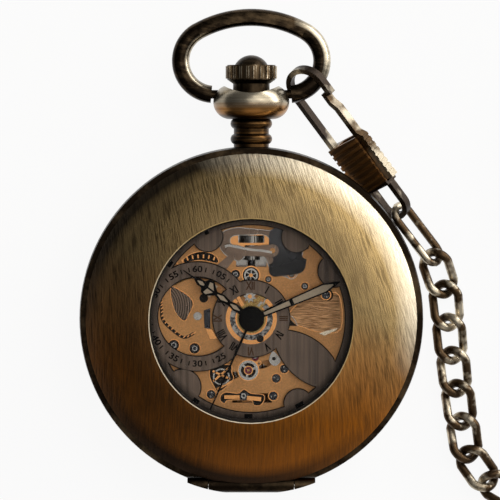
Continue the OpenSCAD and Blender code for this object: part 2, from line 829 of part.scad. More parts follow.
// Winding wheel outside the bridge, joined through the bridge to the crown teeth that face the pinion
crown_hub_r = 1.2;
contrate_z0 = bridge_z1 + 0.1;
contrate_z1 = stem_z - wind_pinion_r + 0.22;
contrate_disc = 0.25;
contrate_slot = 0.34;
contrate_cut = 0.4;
module crown_wheel() {
    color(steel)
        at(crown_wheel_at) {
            pinion(crown_wheel_teeth, winder_m, winder_z0, winder_t, 0, crown_turn);
            translate([0, 0, winder_z0 + 0.1])
                cylinder(r = crown_hub_r, h = contrate_z0 + 0.1 - winder_z0);
            difference() {
                rotate_extrude($fn = 96) {
                    translate([0, contrate_z0]) square([contrate_r, contrate_disc]);
                    translate([contrate_r - contrate_w, contrate_z0])
                        square([contrate_w, contrate_z1 - contrate_z0]);
                }
                for (i = [0:contrate_teeth - 1])
                    rotate(i * 360 / contrate_teeth)
                        translate([contrate_r - contrate_w / 2, 0, contrate_z1])
                            cube([contrate_w + 0.4, contrate_slot, 2 * contrate_cut], center = true);
            }
        }
}

click_post_r = 0.3;
module click() {
    ahead = 14;
    aim = atan2(click_at[1] - barrel_at[1], click_at[0] - barrel_at[0]) + ahead;
    reach = barrel_at + (pitch_r(ratchet_teeth, winder_m) + 0.85 * winder_m + 0.18) * [cos(aim), sin(aim)];
    color(steel)
        translate([0, 0, winder_z0])
            linear_extrude(winder_t)
                difference() {
                    hull() {
                        translate(click_at) circle(0.65, $fn = 32);
                        translate(reach) circle(0.15, $fn = 16);
                    }
                    translate(click_at) circle(click_post_r + run_fit);
                }
}

module click_spring() {
    color(steel)
        translate([0, 0, winder_z0])
            linear_extrude(winder_t)
                difference() {
                    union() {
                        translate(click_foot) circle(0.55);
                        hull() {
                            translate(click_foot + [0.1, -0.2]) circle(0.14, $fn = 16);
                            translate(click_at + [-0.75, 0.35]) circle(0.12, $fn = 16);
                        }
                    }
                    translate(click_foot) circle(click_post_r + 0.01);
                }
}

module centre_wheel() {
    color(brass)
        difference() {
            union() {
                wheel(centre_teeth, centre_m, centre_z, train_t, 5);
                pinion(centre_pinion_teeth, barrel_m, barrel_teeth_z - 0.05,
                    centre_z - barrel_teeth_z + 0.1, 0, centre_turn);
                translate([0, 0, barrel_teeth_z - 0.1])
                    cylinder(r = centre_out_r, h = minute_hand_z - 0.15 - barrel_teeth_z);
            }
            translate([0, 0, -1]) cylinder(r = centre_in_r, h = 20);
        }
}

module third_wheel() {
    color(brass)
        at(third_at) {
            wheel(third_teeth, third_m, third_z, train_t, 4);
            pinion(third_pinion_teeth, centre_m, centre_z - 0.05, train_t + 0.1, 0, third_turn);
            translate([0, 0, bridge_z0 + 0.1]) cylinder(r = arbor_r, h = plate_z1 - 0.4 - bridge_z0);
        }
}

module fourth_wheel() {
    color(brass) {
        wheel(fourth_teeth, fourth_m, fourth_z, train_t, 4);
        pinion(fourth_pinion_teeth, third_m, third_z - 0.1, train_t + 0.2, 0, fourth_turn);
        translate([0, 0, bridge_z0 + 0.1])
            cylinder(r = arbor_r, h = second_hand_z + hand_t - bridge_z0 - 0.1);
    }
}

escape_r = 1.5;
module escape_wheel() {
    color(steel)
        at(escape_at) {
            translate([0, 0, escape_z])
                linear_extrude(train_t)
                    difference() {
                        polygon([for (i = [0:escape_teeth - 1], q = [[0, escape_r], [0.12, escape_r],
                            [0.3, escape_r - 0.38], [0.85, escape_r - 0.38]])
                            let (a = (i + q[0]) * 360 / escape_teeth) q[1] * [cos(a), sin(a)]]);
                        for (i = [0:3]) rotate(i * 90 + 45) translate([0.66, 0]) circle(0.26, $fn = 24);
                    }
            pinion(escape_pinion_teeth, fourth_m, fourth_z - 0.05, train_t + 0.1, 0, escape_turn);
            translate([0, 0, bridge_z0 + 0.1]) cylinder(r = arbor_r, h = plate_z1 - 0.4 - bridge_z0);
        }
}

// Lever of the escapement: two pallets astride the escape wheel and a fork at the balance
pallet_z = escape_z;
module pallet_fork() {
    aim = atan2(escape_at[1] - pallet_at[1], escape_at[0] - pallet_at[0]);
    color(steel)
        at(pallet_at) {
            translate([0, 0, pallet_z])
                rotate(aim)
                    linear_extrude(train_t)
                        difference() {
                            polygon([[0.1, 1.2], [0.42, 1.05], [0.42, 0.85], [0.15, 0.75], [0.2, 0],
                                [0.15, -0.75], [0.42, -0.85], [0.42, -1.05], [0.1, -1.2], [-0.2, -0.3],
                                [-1.2, -0.12], [-1.75, -0.3], [-1.75, 0.3], [-1.2, 0.12], [-0.2, 0.3]]);
                            translate([-1.7, 0]) square([0.4, 0.24], center = true);
                        }
            translate([0, 0, pallet_bridge_z + 0.02])
                cylinder(r = arbor_r, h = plate_z1 - 0.4 - pallet_bridge_z);
        }
}

pallet_bridge_z = escape_z - 0.34;
pallet_foot = [3.4, -6.4];
module pallet_bridge() {
    thick = 0.22;
    color(copper)
        difference() {
            union() {
                translate([0, 0, pallet_bridge_z])
                    linear_extrude(thick)
                        hull() {
                            translate(pallet_at) circle(0.55, $fn = 32);
                            translate(pallet_foot) circle(0.75, $fn = 32);
                        }
                at(pallet_foot) translate([0, 0, pallet_bridge_z])
                    cylinder(r = 0.6, h = plate_z0 - pallet_bridge_z);
            }
            at(pallet_at) translate([0, 0, pallet_bridge_z - 1]) cylinder(r = arbor_r + run_fit, h = 3);
        }
}

balance_r = 3.3;
balance_z = bridge_z1 + 0.4;
balance_t = 0.3;
module balance_wheel() {
    color(brass)
        at(balance_at) {
            translate([0, 0, balance_z])
                linear_extrude(balance_t) {
                    difference() {
                        circle(balance_r);
                        circle(balance_r - 0.4);
                    }
                    square([0.5, 2 * balance_r - 0.4], center = true);
                    circle(0.6);
                }
            for (i = [0:11])
                rotate(i * 30 + 15) translate([balance_r - 0.2, 0, balance_z + balance_t - 0.05])
                    cylinder(r = 0.17, h = 0.1, $fn = 24);
            translate([0, 0, bridge_z0 + 0.1]) cylinder(r = arbor_r, h = plate_z1 - 0.4 - bridge_z0);
            translate([0, 0, escape_z - 0.05]) cylinder(r = 0.35, h = 0.1);
        }
}

hairspring_r0 = 0.55;
hairspring_turns = 3.5;
hairspring_z = bridge_z1 + 0.12;
hairspring_h = 0.18;
stud_r = hairspring_r0 + hairspring_pitch * hairspring_turns + hairspring_t / 2;
echo(hairspring_gap = spiral_gap(hairspring_r0, hairspring_pitch, hairspring_turns, hairspring_t));
module hairspring() {
    color("#4a5a80")
        at(balance_at)
            spiral_strip(hairspring_r0, hairspring_pitch, hairspring_turns, hairspring_t,
                hairspring_z, hairspring_h);
}

cock_foot = [-0.4, -12.7];
module balance_cock() {
    color(copper)
        difference() {
            union() {
                translate([0, 0, bridge_z0])
                    linear_extrude(bridge_t) {
                        hull() {
                            translate(balance_at) circle(1.5, $fn = 32);
                            translate(cock_foot) circle(1.6, $fn = 32);
                        }
                        translate(balance_at - [stud_r, 0]) circle(0.5);
                        translate(balance_at - [stud_r, 0.5]) square([stud_r, 1.0]);
                    }
                at(cock_foot) translate([0, 0, bridge_z0]) cylinder(r = 1.5, h = plate_z0 - bridge_z0);
                at(balance_at - [stud_r + 0.3, 0]) translate([0, 0, bridge_z1 - 0.1])
                    cylinder(r = 0.2, h = hairspring_z + hairspring_h + 0.05 - bridge_z1);
            }
            at(balance_at) translate([0, 0, bridge_z0 - 1]) cylinder(r = arbor_r + run_fit, h = 3);
        }
}

// Outline of the train bridge, and the pillars that hold it off the mainplate
train_pillars = [[8.6, 2.4], [7.6, -3.8]];
module train_outline(grow = 0) {
    hull() {
        translate(centre) circle(1.4 + grow, $fn = 32);
        translate(escape_at) circle(1.1 + grow, $fn = 32);
        for (p = train_pillars) translate(p) circle(1.3 + grow, $fn = 32);
    }
}

pillar_r = 0.75;
module train_bridge() {
    color(copper)
        difference() {
            union() {
                translate([0, 0, bridge_z0]) linear_extrude(bridge_t) train_outline();
                for (p = train_pillars)
                    at(p) translate([0, 0, bridge_z0]) cylinder(r = pillar_r, h = plate_z0 - bridge_z0);
            }
            for (p = [centre, third_at, escape_at])
                at(p) translate([0, 0, bridge_z0 - 1]) cylinder(r = arbor_r + run_fit, h = 3);
        }
}

barrel_pillars = [[-11.6, 6.9], [-7.8, 10.9], [5.6, 11.7], [-9.4, -9.6]];
module barrel_bridge() {
    color(copper)
        difference() {
            union() {
                translate([0, 0, bridge_z0])
                    linear_extrude(bridge_t)
                        difference() {
                            hull() for (p = barrel_pillars) translate(p) circle(1.3, $fn = 32);
                            train_outline(0.25);
                        }
                for (p = barrel_pillars)
                    at(p) translate([0, 0, bridge_z0]) cylinder(r = pillar_r, h = plate_z0 - bridge_z0);
                for (p = [click_at, click_foot])
                    at(p) translate([0, 0, winder_z0 - 0.1]) cylinder(r = click_post_r, h = winder_t + 0.4);
            }
            at(barrel_at) translate([0, 0, bridge_z0 - 1]) cylinder(r = barrel_pivot_r + run_fit, h = 3);
            at(crown_wheel_at) translate([0, 0, bridge_z0 - 1]) cylinder(r = crown_hub_r + run_fit, h = 3);
        }
}

// Motion works, dial and hands

motion_z = plate_z1 + 0.1;
module cannon_pinion() {
    color(steel)
        difference() {
            union() {
                pinion(cannon_teeth, cannon_m, motion_z, 0.25);
                translate([0, 0, motion_z]) cylinder(r = cannon_out_r, h = minute_hand_z + hand_t - motion_z);
            }
            translate([0, 0, motion_z - 1]) cylinder(r = cannon_in_r, h = 6);
        }
}

module minute_wheel() {
    color(brass)
        at(minute_at) {
            wheel(minute_teeth, cannon_m, motion_z + 0.02, 0.2, 4, minute_post_r + run_fit, minute_turn);
            pinion(minute_pinion_teeth, hour_m, motion_z + 0.2, 0.5, minute_post_r + run_fit);
        }
}

module hour_wheel() {
    color(brass)
        difference() {
            union() {
                wheel(hour_teeth, hour_m, motion_z + 0.4, 0.2, 0, 0, hour_turn);
                translate([0, 0, motion_z + 0.4])
                    cylinder(r = hour_out_r, h = hour_hand_z + hand_t - motion_z - 0.4);
            }
            translate([0, 0, motion_z - 1]) cylinder(r = hour_in_r, h = 6);
        }
}

// Open-worked dial: a rim with scallops, a minute ring at nine o'clock and an hour ring in the middle
rim_in_r = 12.9;
minute_ring_r = 7.4;
minute_ring_w = 1.9;
hour_ring_r = 5.2;
hour_ring_w = 1.7;
scallops = [[118, 12.7, 2.0], [61, 12.7, 2.0], [30, 13.1, 2.2], [-61, 13.2, 1.9], [225, 13.2, 2.4]];
module dial() {
    color(dial_grey)
        translate([0, 0, dial_z])
            linear_extrude(dial_t) {
                difference() {
                    circle(dial_r, $fn = 128);
                    circle(rim_in_r, $fn = 128);
                }
                intersection() {
                    circle(dial_r - 0.5, $fn = 128);
                    union() {
                        for (s = scallops) rotate(s[0]) translate([s[1], 0]) circle(s[2]);
                        difference() {
                            translate(barrel_at) circle(minute_ring_r, $fn = 128);
                            translate(barrel_at) circle(minute_ring_r - minute_ring_w, $fn = 128);
                            circle(hour_ring_r - 0.3);
                        }
                        difference() {
                            circle(hour_ring_r);
                            circle(hour_ring_r - hour_ring_w);
                        }
                        rotate(-36) translate([hour_ring_r + 4.4, 0]) rotate(-4) lens_2d(12.5, 5.4);
                    }
                }
            }
}

// A hand drawn along +Y, seen from the front, with windows for its paint
module hand(z, bore, boss, clock_angle) {
    translate([0, 0, z])
        rotate(-clock_angle)
            linear_extrude(hand_t)
                difference() {
                    union() {
                        circle(boss);
                        children(0);
                    }
                    circle(bore);
                    if ($children > 1) children(1);
                }
}

function mirrored(half) = concat(half, [for (i = [len(half) - 1:-1:0]) [-half[i][0], half[i][1]]]);
hour_time = 305.7;
minute_time = 67.1;
second_time = 204.5;

module hour_hand() {
    color(hand_black)
        hand(hour_hand_z, hour_out_r + 0.01, 1.75, hour_time) {
            polygon(mirrored([[0.4, 1.2], [0.52, 2.7], [0.34, 3.7], [0.52, 4.9], [0.3, 5.9], [1.15, 7.0],
                [1.05, 7.7], [0.5, 8.1], [0.5, 8.8], [0.12, 9.5], [0.06, 11.4]]));
            union() {
                polygon(mirrored([[0.05, 1.95], [0.28, 2.75], [0.05, 3.5]]));
                polygon(mirrored([[0.05, 4.0], [0.3, 4.9], [0.05, 5.7]]));
                polygon([[0.12, 6.35], [0.9, 7.05], [0.82, 7.5], [0.12, 7.3]]);
                polygon([[-0.12, 6.35], [-0.12, 7.3], [-0.82, 7.5], [-0.9, 7.05]]);
                polygon(mirrored([[0.1, 7.9], [0.27, 8.4], [0.05, 9.0]]));
            }
        }
}

module minute_hand() {
    color(hand_black)
        hand(minute_hand_z, cannon_out_r + 0.01, 1.35, minute_time) {
            polygon(mirrored([[0.4, 1.1], [0.68, 10.9], [0.06, 13.1]]));
            union() {
                polygon(mirrored([[0.2, 1.9], [0.34, 5.7]]));
                polygon(mirrored([[0.36, 6.2], [0.48, 10.8], [0.08, 12.1]]));
            }
        }
}

module second_hand() {
    color(hand_black)
        hand(second_hand_z, arbor_r + 0.01, 0.75, second_time) {
            polygon(mirrored([[0.17, 0], [0.1, 13.5]]));
        }
}

// Slotted screws that hold the bridges from the back, and the cover and dial works from the front
screw_r = 0.55;
back_screws = concat(barrel_pillars, train_pillars, [cock_foot]);
front_screws = [[5.6, 8.6], [-8.6, -6.8], [4.5, -6.9], [3.4, -8.2], [3.0, -10.6], [-5.5, -10.4],
    [10.2, 3.2]];
module slotted_head(h) {
    difference() {
        cylinder(r = screw_r, h = h, $fn = 32);
        translate([-2, -0.09, h - 0.12]) cube([4, 0.18, 1]);
    }
}
module screws() {
    color(steel) {
        for (p = back_screws)
            at(p) translate([0, 0, bridge_z0]) rotate([180, 0, 0]) slotted_head(0.3);
        for (i = [0:len(front_screws) - 1])
            at(front_screws[i])
                translate([0, 0, i == 0 ? cover_z + cover_t : plate_z1]) rotate(i * 50) slotted_head(0.25);
    }
}

// Ring jewels, set flush over the pivots on both sides
jewel_r = 0.5;
module jewels() {
    color(ruby) {
        for (p = [third_at, escape_at, pallet_at, balance_at])
            at(p) ring(jewel_r, arbor_r + 0.02, plate_z1, 0.1);
        for (p = [centre, third_at, escape_at, balance_at])
            at(p) ring(jewel_r, arbor_r + 0.02, bridge_z0 - 0.1, 0.1);
    }
}

// Clasp, drawn flat: x across the loop, y from the hook to the eye, z across the strip

block_y0 = 9.0;
block_y1 = 17.0;
block_half_z = 1.1;
cheek_t = 0.38;
eye_r = 1.9;
clasp_top = clasp_w + clasp_t / 2;
eye_y = clasp_len - clasp_top - eye_r - clasp_t / 2;
lever_pin = [1.3, 15.4];
pin_r = 0.35;
tip_y = 2.2;
rib_step = 0.9;

module loop_arc(r) {
    difference() {
        circle(r + clasp_t / 2);
        circle(r - clasp_t / 2);
        translate([-10, 0]) square(20);
    }
}

module clasp_frame() {
    slot = block_half_z - cheek_t;
    union() {
        linear_extrude(clasp_strip, center = true) {
            loop_arc(clasp_w);
            translate([-clasp_w - clasp_t / 2, 0]) square([clasp_t, block_y0 + 0.5]);
            translate([clasp_w - clasp_t / 2, 0]) square([clasp_t, tip_y]);
            translate([0, eye_y]) rotate(180) loop_arc(eye_r);
            for (s = [-1, 1])
                translate([s * eye_r - clasp_t / 2, block_y1 - 0.2])
                    square([clasp_t, eye_y - block_y1 + 0.2]);
        }
        difference() {
            translate([-clasp_top, block_y0, -block_half_z])
                cube([clasp_top + 2.3, block_y1 - block_y0, 2 * block_half_z]);
            translate([-1.4, block_y0 - 1, -slot]) cube([6, block_y1 - block_y0 + 0.6, 2 * slot]);
            for (y = [block_y0 + rib_step:rib_step:block_y1 - rib_step / 2], s = [-1, 1])
                translate([-0.35, y, s * block_half_z]) cube([5.5, 0.3, 0.3], center = true);
            for (y = [block_y0 + rib_step:rib_step:block_y1 - rib_step / 2])
                translate([-clasp_top, y, 0]) cube([0.3, 0.3, 3], center = true);
        }
        at(lever_pin) cylinder(r = pin_r, h = 2 * block_half_z - 0.1, center = true);
    }
}

module clasp_gate() {
    wide = 2 * (block_half_z - cheek_t) - 0.2;
    inner = clasp_w - clasp_t / 2;
    difference() {
        linear_extrude(wide, center = true)
            difference() {
                union() {
                    translate(lever_pin) circle(0.8);
                    polygon([[inner - 0.75, tip_y - 0.6], [inner - 0.12, tip_y - 0.6], [inner - 0.12, 3.2],
                        [inner + 0.35, 4.4], [inner + 0.35, 8.6], [inner + 0.95, 9.4], [inner + 0.95, 16.4],
                        [inner + 0.3, 16.4], [lever_pin[0], 16.1], [lever_pin[0], 14.8], [inner - 0.1, 13.5],
                        [inner - 0.1, 9.4], [inner - 0.45, 8.6], [inner - 0.45, 4.4], [inner - 0.75, 3.4]]);
                }
                for (y = [9.9:rib_step:16.1])
                    translate([inner + 0.95, y]) square([0.3, 0.35], center = true);
            }
        at(lever_pin) cylinder(r = pin_r + run_fit, h = 5, center = true);
    }
}

// Where the clasp hangs on the bow: out from the bend, rolled on its long axis, sloping down to the table
hook_turn = -53.3;
clasp_roll = 45;
clasp_dip = 8.2;
hook_at = [bow_x + bow_side_r * cos(hook_turn), bow_y + bow_side_r * sin(hook_turn), stem_z];
hook_out = [cos(hook_turn), sin(hook_turn), 0];
hook_side = [-sin(hook_turn), cos(hook_turn), 0];
up = [0, 0, 1];
clasp_dir = cos(clasp_dip) * hook_out - sin(clasp_dip) * up;
clasp_up = cross(clasp_dir, hook_side);
clasp_x = cos(clasp_roll) * hook_side + sin(clasp_roll) * clasp_up;
clasp_z = cross(clasp_x, clasp_dir);

// Puts children drawn on x, y and z onto three square directions at a point
module on_axes(x, y, z, p) {
    rows = [for (i = [0:2]) [x[i], y[i], z[i], p[i]]];
    multmatrix(concat(rows, [[0, 0, 0, 1]])) children();
}

module clasp_body() {
    color(dark_bronze) on_axes(clasp_x, clasp_dir, clasp_z, hook_at) clasp_frame();
}
module clasp_lever() {
    color(bronze) on_axes(clasp_x, clasp_dir, clasp_z, hook_at) clasp_gate();
}

// Chain: its route over the table is a run of arcs, each with a length and a turn to the left
chain_z = 1.5;
chain_start = [case_r + 2.3, 6.0];
chain_heading = -70;
hank_r = 18.5;
hank_gap = 5.6;
hank_run = 33;
inner_turn_r = 9.4;
route = [[5, -14], [18, 4], [14, 80], [15, 0], [PI / 2 * hank_r, 90], [hank_run, 0],
    [PI * (hank_r - hank_gap / 2), 180], [hank_run, 0], [PI * inner_turn_r, 180], [90, 0]];
function along(p, h, s, t) = abs(t) < 0.001 ? p + s * [cos(h), sin(h)]
    : let (r = s / (t * PI / 180)) p + r * [sin(h + t) - sin(h), cos(h) - cos(h + t)];
// Place and heading after a length s of the route
function on_route(s, i = 0, p = chain_start, h = chain_heading) =
    let (run = route[i], part = min(s, run[0]), turn = run[1] * part / run[0],
        q = along(p, h, part, turn))
    s <= run[0] ? [q[0], q[1], h + turn] : on_route(s - run[0], i + 1, q, h + turn);

// Closed oval of wire in the xy plane, twisted about its long x axis: its ends stand square to the next
function oval(length, width, n) = let (r = width / 2, straight = length - width)
    [for (e = [1, -1], k = [0:n])
        let (a = e * 90 - k * 180 / n)
        [e * straight / 2 + r * cos(a), r * sin(a), 0]];
function twisted(p, half, twist) = let (a = -twist * p[0] / half) [p[0], p[1] * cos(a), p[1] * sin(a)];
function unit(v) = v / norm(v);
module wire_link(length, width, wire_d, twist, n, sides) {
    path = [for (p = oval(length, width, n)) twisted(p, length / 2, twist)];
    m = len(path);
    rings = [for (i = [0:m - 1])
        let (t = unit(path[(i + 1) % m] - path[(i + m - 1) % m]), a = -twist * path[i][0] / (length / 2),
            u = unit(cross(t, [0, -sin(a), cos(a)])), v = cross(t, u))
        [for (k = [0:sides - 1])
            let (f = k * 360 / sides) path[i] + wire_d / 2 * (cos(f) * u + sin(f) * v)]];
    faces = [for (i = [0:m - 1], k = [0:sides - 1])
        let (j = (i + 1) % m, l = (k + 1) % sides,
            a = i * sides + k, b = i * sides + l, c = j * sides + l, d = j * sides + k)
        each [[a, c, b], [a, d, c]]];
    polyhedron([for (r = rings) each r], faces);
}

link_len = link_pitch + link_wire_d + link_slack;
link_twist = 45;
module placed_link(i, n, sides) {
    at = on_route((i - 1) * link_pitch);
    translate([at[0], at[1], chain_z]) rotate([0, 0, at[2]])
        wire_link(link_len, link_w, link_wire_d, link_twist, n, sides);
}
module chain_link(i) {
    color(dark_bronze) placed_link(i, 8, 8);
}
module chain_tail() {
    color(dark_bronze)
        for (i = [VISIBLE_LINKS + 1:VISIBLE_LINKS + tail_links])
            placed_link(i, i < VISIBLE_LINKS + 4 ? 8 : 6, i < VISIBLE_LINKS + 4 ? 8 : 6);
}

// Oval ring between the clasp's eye and the first link
eye_at = hook_at + clasp_dir * (eye_y + eye_r);
first_end = [chain_start[0], chain_start[1], chain_z]
    - (link_len / 2) * [cos(chain_heading), sin(chain_heading), 0];
ring_wire_d = 1.1;
ring_w = 3.0;
ring_slack = 0.7;
ring_lift = 0.1;
ring_span = first_end + [0, 0, ring_lift] - eye_at;
past_eye = (ring_wire_d + clasp_t + ring_slack) / 2;
past_link = (ring_wire_d + link_wire_d + ring_slack) / 2;
ring_len = norm(ring_span) + past_eye + past_link;
module chain_ring() {
    dir = unit(ring_span);
    side = unit(cross(up, dir));
    lift = cross(dir, side);
    x_roll = cos(45) * side - sin(45) * lift;
    color(dark_bronze)
        on_axes(dir, x_roll, cross(dir, x_roll), eye_at + ring_span / 2 + (past_link - past_eye) / 2 * dir)
            wire_link(ring_len, ring_w, ring_wire_d, 0, 8, 8);
}

// Bar at the far end of the chain, for a buttonhole, on a ring that hangs in the last link
far_end = on_route((VISIBLE_LINKS + tail_links - 1) * link_pitch);
bar_ring_r = 1.4;
bar_ring_x = link_len / 2 - (ring_wire_d + link_wire_d + link_slack) / 2 + bar_ring_r;
bar_x = bar_ring_x + bar_ring_r + bar_r - 0.2;
module t_bar() {
    color(dark_bronze)
        translate([far_end[0], far_end[1], bar_ball_r])
            rotate([0, 0, far_end[2]]) {
                translate([bar_x, 0, 0])
                    rotate([90, 0, 0]) cylinder(r = bar_r, h = bar_len - 2 * bar_ball_r, center = true);
                for (s = [-1, 1]) translate([bar_x, s * (bar_len / 2 - bar_ball_r), 0]) sphere(bar_ball_r);
                translate([bar_ring_x, 0, 0])
                    rotate([link_twist, 0, 0])
                        rotate_extrude() translate([bar_ring_r, 0]) circle(ring_wire_d / 2, $fn = 32);
            }
}

case_middle();
case_back();
movement_ring();
inner_bezel();
dial_crystal();
hinge_pin();
lid_lift_spring();
lid_lock_spring();
pendant();
front_lid();
lid_crystal();
bow();
crown();
winding_stem();
winding_pinion();
sliding_pinion();
setting_lever();
yoke();
keyless_cover();
mainplate();
barrel();
mainspring();
barrel_arbor();
ratchet_wheel();
crown_wheel();
click();
click_spring();
centre_wheel();
third_wheel();
fourth_wheel();
escape_wheel();
pallet_fork();
pallet_bridge();
balance_wheel();
hairspring();
balance_cock();
train_bridge();
barrel_bridge();
cannon_pinion();
minute_wheel();
hour_wheel();
dial();
hour_hand();
minute_hand();
second_hand();
screws();
jewels();
clasp_body();
clasp_lever();
chain_ring();
for (i = [1:VISIBLE_LINKS]) chain_link(i);
chain_tail();
t_bar();
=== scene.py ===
"""Looks of a half-hunter pocket watch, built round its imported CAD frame."""

import json
import math

import bmesh
import bpy
from mathutils import Matrix, Vector


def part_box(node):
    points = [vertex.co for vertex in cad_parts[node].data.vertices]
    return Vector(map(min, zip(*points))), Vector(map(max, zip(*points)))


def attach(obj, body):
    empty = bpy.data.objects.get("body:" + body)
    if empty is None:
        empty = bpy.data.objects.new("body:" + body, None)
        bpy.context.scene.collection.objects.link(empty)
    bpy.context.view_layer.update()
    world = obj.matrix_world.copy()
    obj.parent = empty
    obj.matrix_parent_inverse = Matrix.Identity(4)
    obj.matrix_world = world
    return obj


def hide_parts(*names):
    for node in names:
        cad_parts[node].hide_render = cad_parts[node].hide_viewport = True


bl_info = {
    "name": "Pocket Watch Looks",
    "version": (1, 0, 0),
    "blender": (4, 5, 0),
    "location": "View3D > Sidebar > Pocket Watch",
    "description": "Dresses a pocket watch with brushed bronze, a printed dial and a curb chain",
    "category": "Object",
}

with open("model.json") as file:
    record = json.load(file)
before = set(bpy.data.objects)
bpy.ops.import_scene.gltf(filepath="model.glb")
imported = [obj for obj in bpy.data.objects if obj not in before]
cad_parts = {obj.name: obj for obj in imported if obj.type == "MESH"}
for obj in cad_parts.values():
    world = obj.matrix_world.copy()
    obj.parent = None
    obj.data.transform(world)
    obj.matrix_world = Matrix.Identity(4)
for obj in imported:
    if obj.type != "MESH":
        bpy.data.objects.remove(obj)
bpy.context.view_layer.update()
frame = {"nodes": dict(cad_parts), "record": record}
MM = 0.001
BODIES = frame["record"]["behaviour"]["bodies"]
BODY_OF = {node: body for body, nodes in BODIES.items() for node in nodes}


# Settings


def tint(label, words, rgb):
    """A colour setting, in linear light."""
    return bpy.props.FloatVectorProperty(name=label, description=words, default=rgb, size=3,
                                         subtype="COLOR", min=0.0, max=1.0)


def number(label, words, value, **kind):
    """A plain setting, with the kind of number that it holds."""
    return bpy.props.FloatProperty(name=label, description=words, default=value, **kind)


def span(label, words, millimetres):
    """A length setting, stored in metres."""
    return number(label, words, millimetres * MM, subtype="DISTANCE", unit="LENGTH", min=0.0,
                  precision=5)


def lean(label, words, degrees):
    """An angle setting, stored in radians."""
    return number(label, words, math.radians(degrees), subtype="ANGLE", unit="ROTATION")


def watts(label, words, value):
    return number(label, words, value, unit="POWER")


def share(label, words, value):
    """A number between nought and one."""
    return number(label, words, value, min=0.0, max=1.0, subtype="FACTOR")


class WatchColours(bpy.types.PropertyGroup):
    """Colours of the watch's finishes"""
    olive: tint("Olive bronze", "Upper part of the brushed lid", (0.36, 0.25, 0.107))
    amber: tint("Amber bronze", "Lower part of the brushed lid", (0.54, 0.172, 0.012))
    # Umber also paints shade on the lid, on its left side and near the window.
    umber: tint("Umber patina", "Dark patina in the brushing", (0.055, 0.032, 0.014))
    antique: tint("Antique bronze", "Worn faces of bow, crown and band", (0.155, 0.105, 0.058))
    # Soot also paints shade: on the lid's rim, at the dial's edge and in the pendant's light mix.
    soot_and_shade: tint("Soot", "Dark patina in the hollows of the bronze", (0.013, 0.0088, 0.0055))
    # Cream also paints highlights: on the lid, the bow, the pendant ball, the window edge and the
    # glint flat.
    cream: tint("Cream edge", "Bare metal on the worn edges", (0.80, 0.70, 0.53))
    slate: tint("Dial slate", "Brushed dial plate", (0.30, 0.212, 0.158))
    copper: tint("Copper plate", "Sandblasted movement plates", (0.92, 0.44, 0.165))
    brass: tint("Gear brass", "Wheels of the train", (0.55, 0.36, 0.13))
    steel: tint("Steel", "Bright steel of levers, pinions and screws", (0.50, 0.48, 0.45))
    gunmetal: tint("Gunmetal", "Darkened steel of the winding cover", (0.055, 0.055, 0.060))
    ink: tint("Ink", "Black lacquer of the hands and of the printing", (0.006, 0.005, 0.005))
    rust: tint("Rust ink", "Brown ink of the quarter hours", (0.13, 0.055, 0.02))
    lume: tint("Paint", "Pale paint in the windows of the hands", (0.82, 0.66, 0.47))
    ruby: tint("Ruby", "Ring jewels", (0.38, 0.02, 0.05))


class WatchSizes(bpy.types.PropertyGroup):
    """Sizes that the looks add to the CAD part"""
    print_h: span("Print height", "Thickness of the printing on the dial", 0.03)
    minute_h: span("Minute numbers", "Height of the numbers on the minute ring", 0.85)
    hour_h: span("Hour numerals", "Height of the numerals on the hour ring", 1.1)
    link_wire: span("Link wire", "Diameter of the wire of a chain link", 1.22)
    link_length: span("Link length", "Length of a link along the middle of its wire", 6.1)
    link_width: span("Link width", "Width of a link across the middle of its wire", 3.7)
    link_twist: lean("Link twist", "Turn of each end of a link", 45)
    view_width: span("View width", "Width of the picture at the watch", 67.9)
    camera_far: span("Camera distance", "Distance from the camera to the watch", 560)


class WatchStage(bpy.types.PropertyGroup):
    """Light, camera and floor"""
    tilt: lean("Camera tilt", "Lean of the camera towards the crown", 1.8)
    key: watts("Key light", "Power of the large lamp at upper right", 3.9)
    edge: watts("Edge light", "Power of the low lamp at the right", 4.6)
    top: watts("Top light", "Power of the soft lamp above the dial", 1.2)
    dial: watts("Dial light", "Power of the small lamp straight above", 0.15)
    fill: watts("Warm fill", "Power of the low lamp at six o'clock", 0.22)
    sky: share("Sky", "Strength of the even light from all round", 0.22)
    floor: share("Floor", "Brightness of the pale floor", 0.9)


# Shader maths


def overload(operation, swapped=False):
    """Operator of a tie that stands for one kind of Math node."""
    def method(self, other):
        return self.maths(operation, *((other, self) if swapped else (self, other)))
    return method


class Tie:
    """A shader socket that takes part in sums with numbers and other ties."""

    def __init__(self, craft, socket):
        self.craft = craft
        self.socket = socket

    def maths(self, operation, a, b=None, clamp=False):
        node = self.craft.tree.nodes.new("ShaderNodeMath")
        node.operation = operation
        node.use_clamp = clamp
        for slot, value in zip(node.inputs, (a, b)):
            if value is not None:
                self.craft.feed(slot, value)
        return Tie(self.craft, node.outputs[0])

    __add__ = overload("ADD")
    __sub__ = overload("SUBTRACT")
    __mul__ = overload("MULTIPLY")
    __truediv__ = overload("DIVIDE")
    __pow__ = overload("POWER")
    __radd__ = overload("ADD", True)
    __rsub__ = overload("SUBTRACT", True)

    def sine(self):
        return self.maths("SINE", self)

    def clamp(self):
        return self.maths("ADD", self, 0.0, clamp=True)


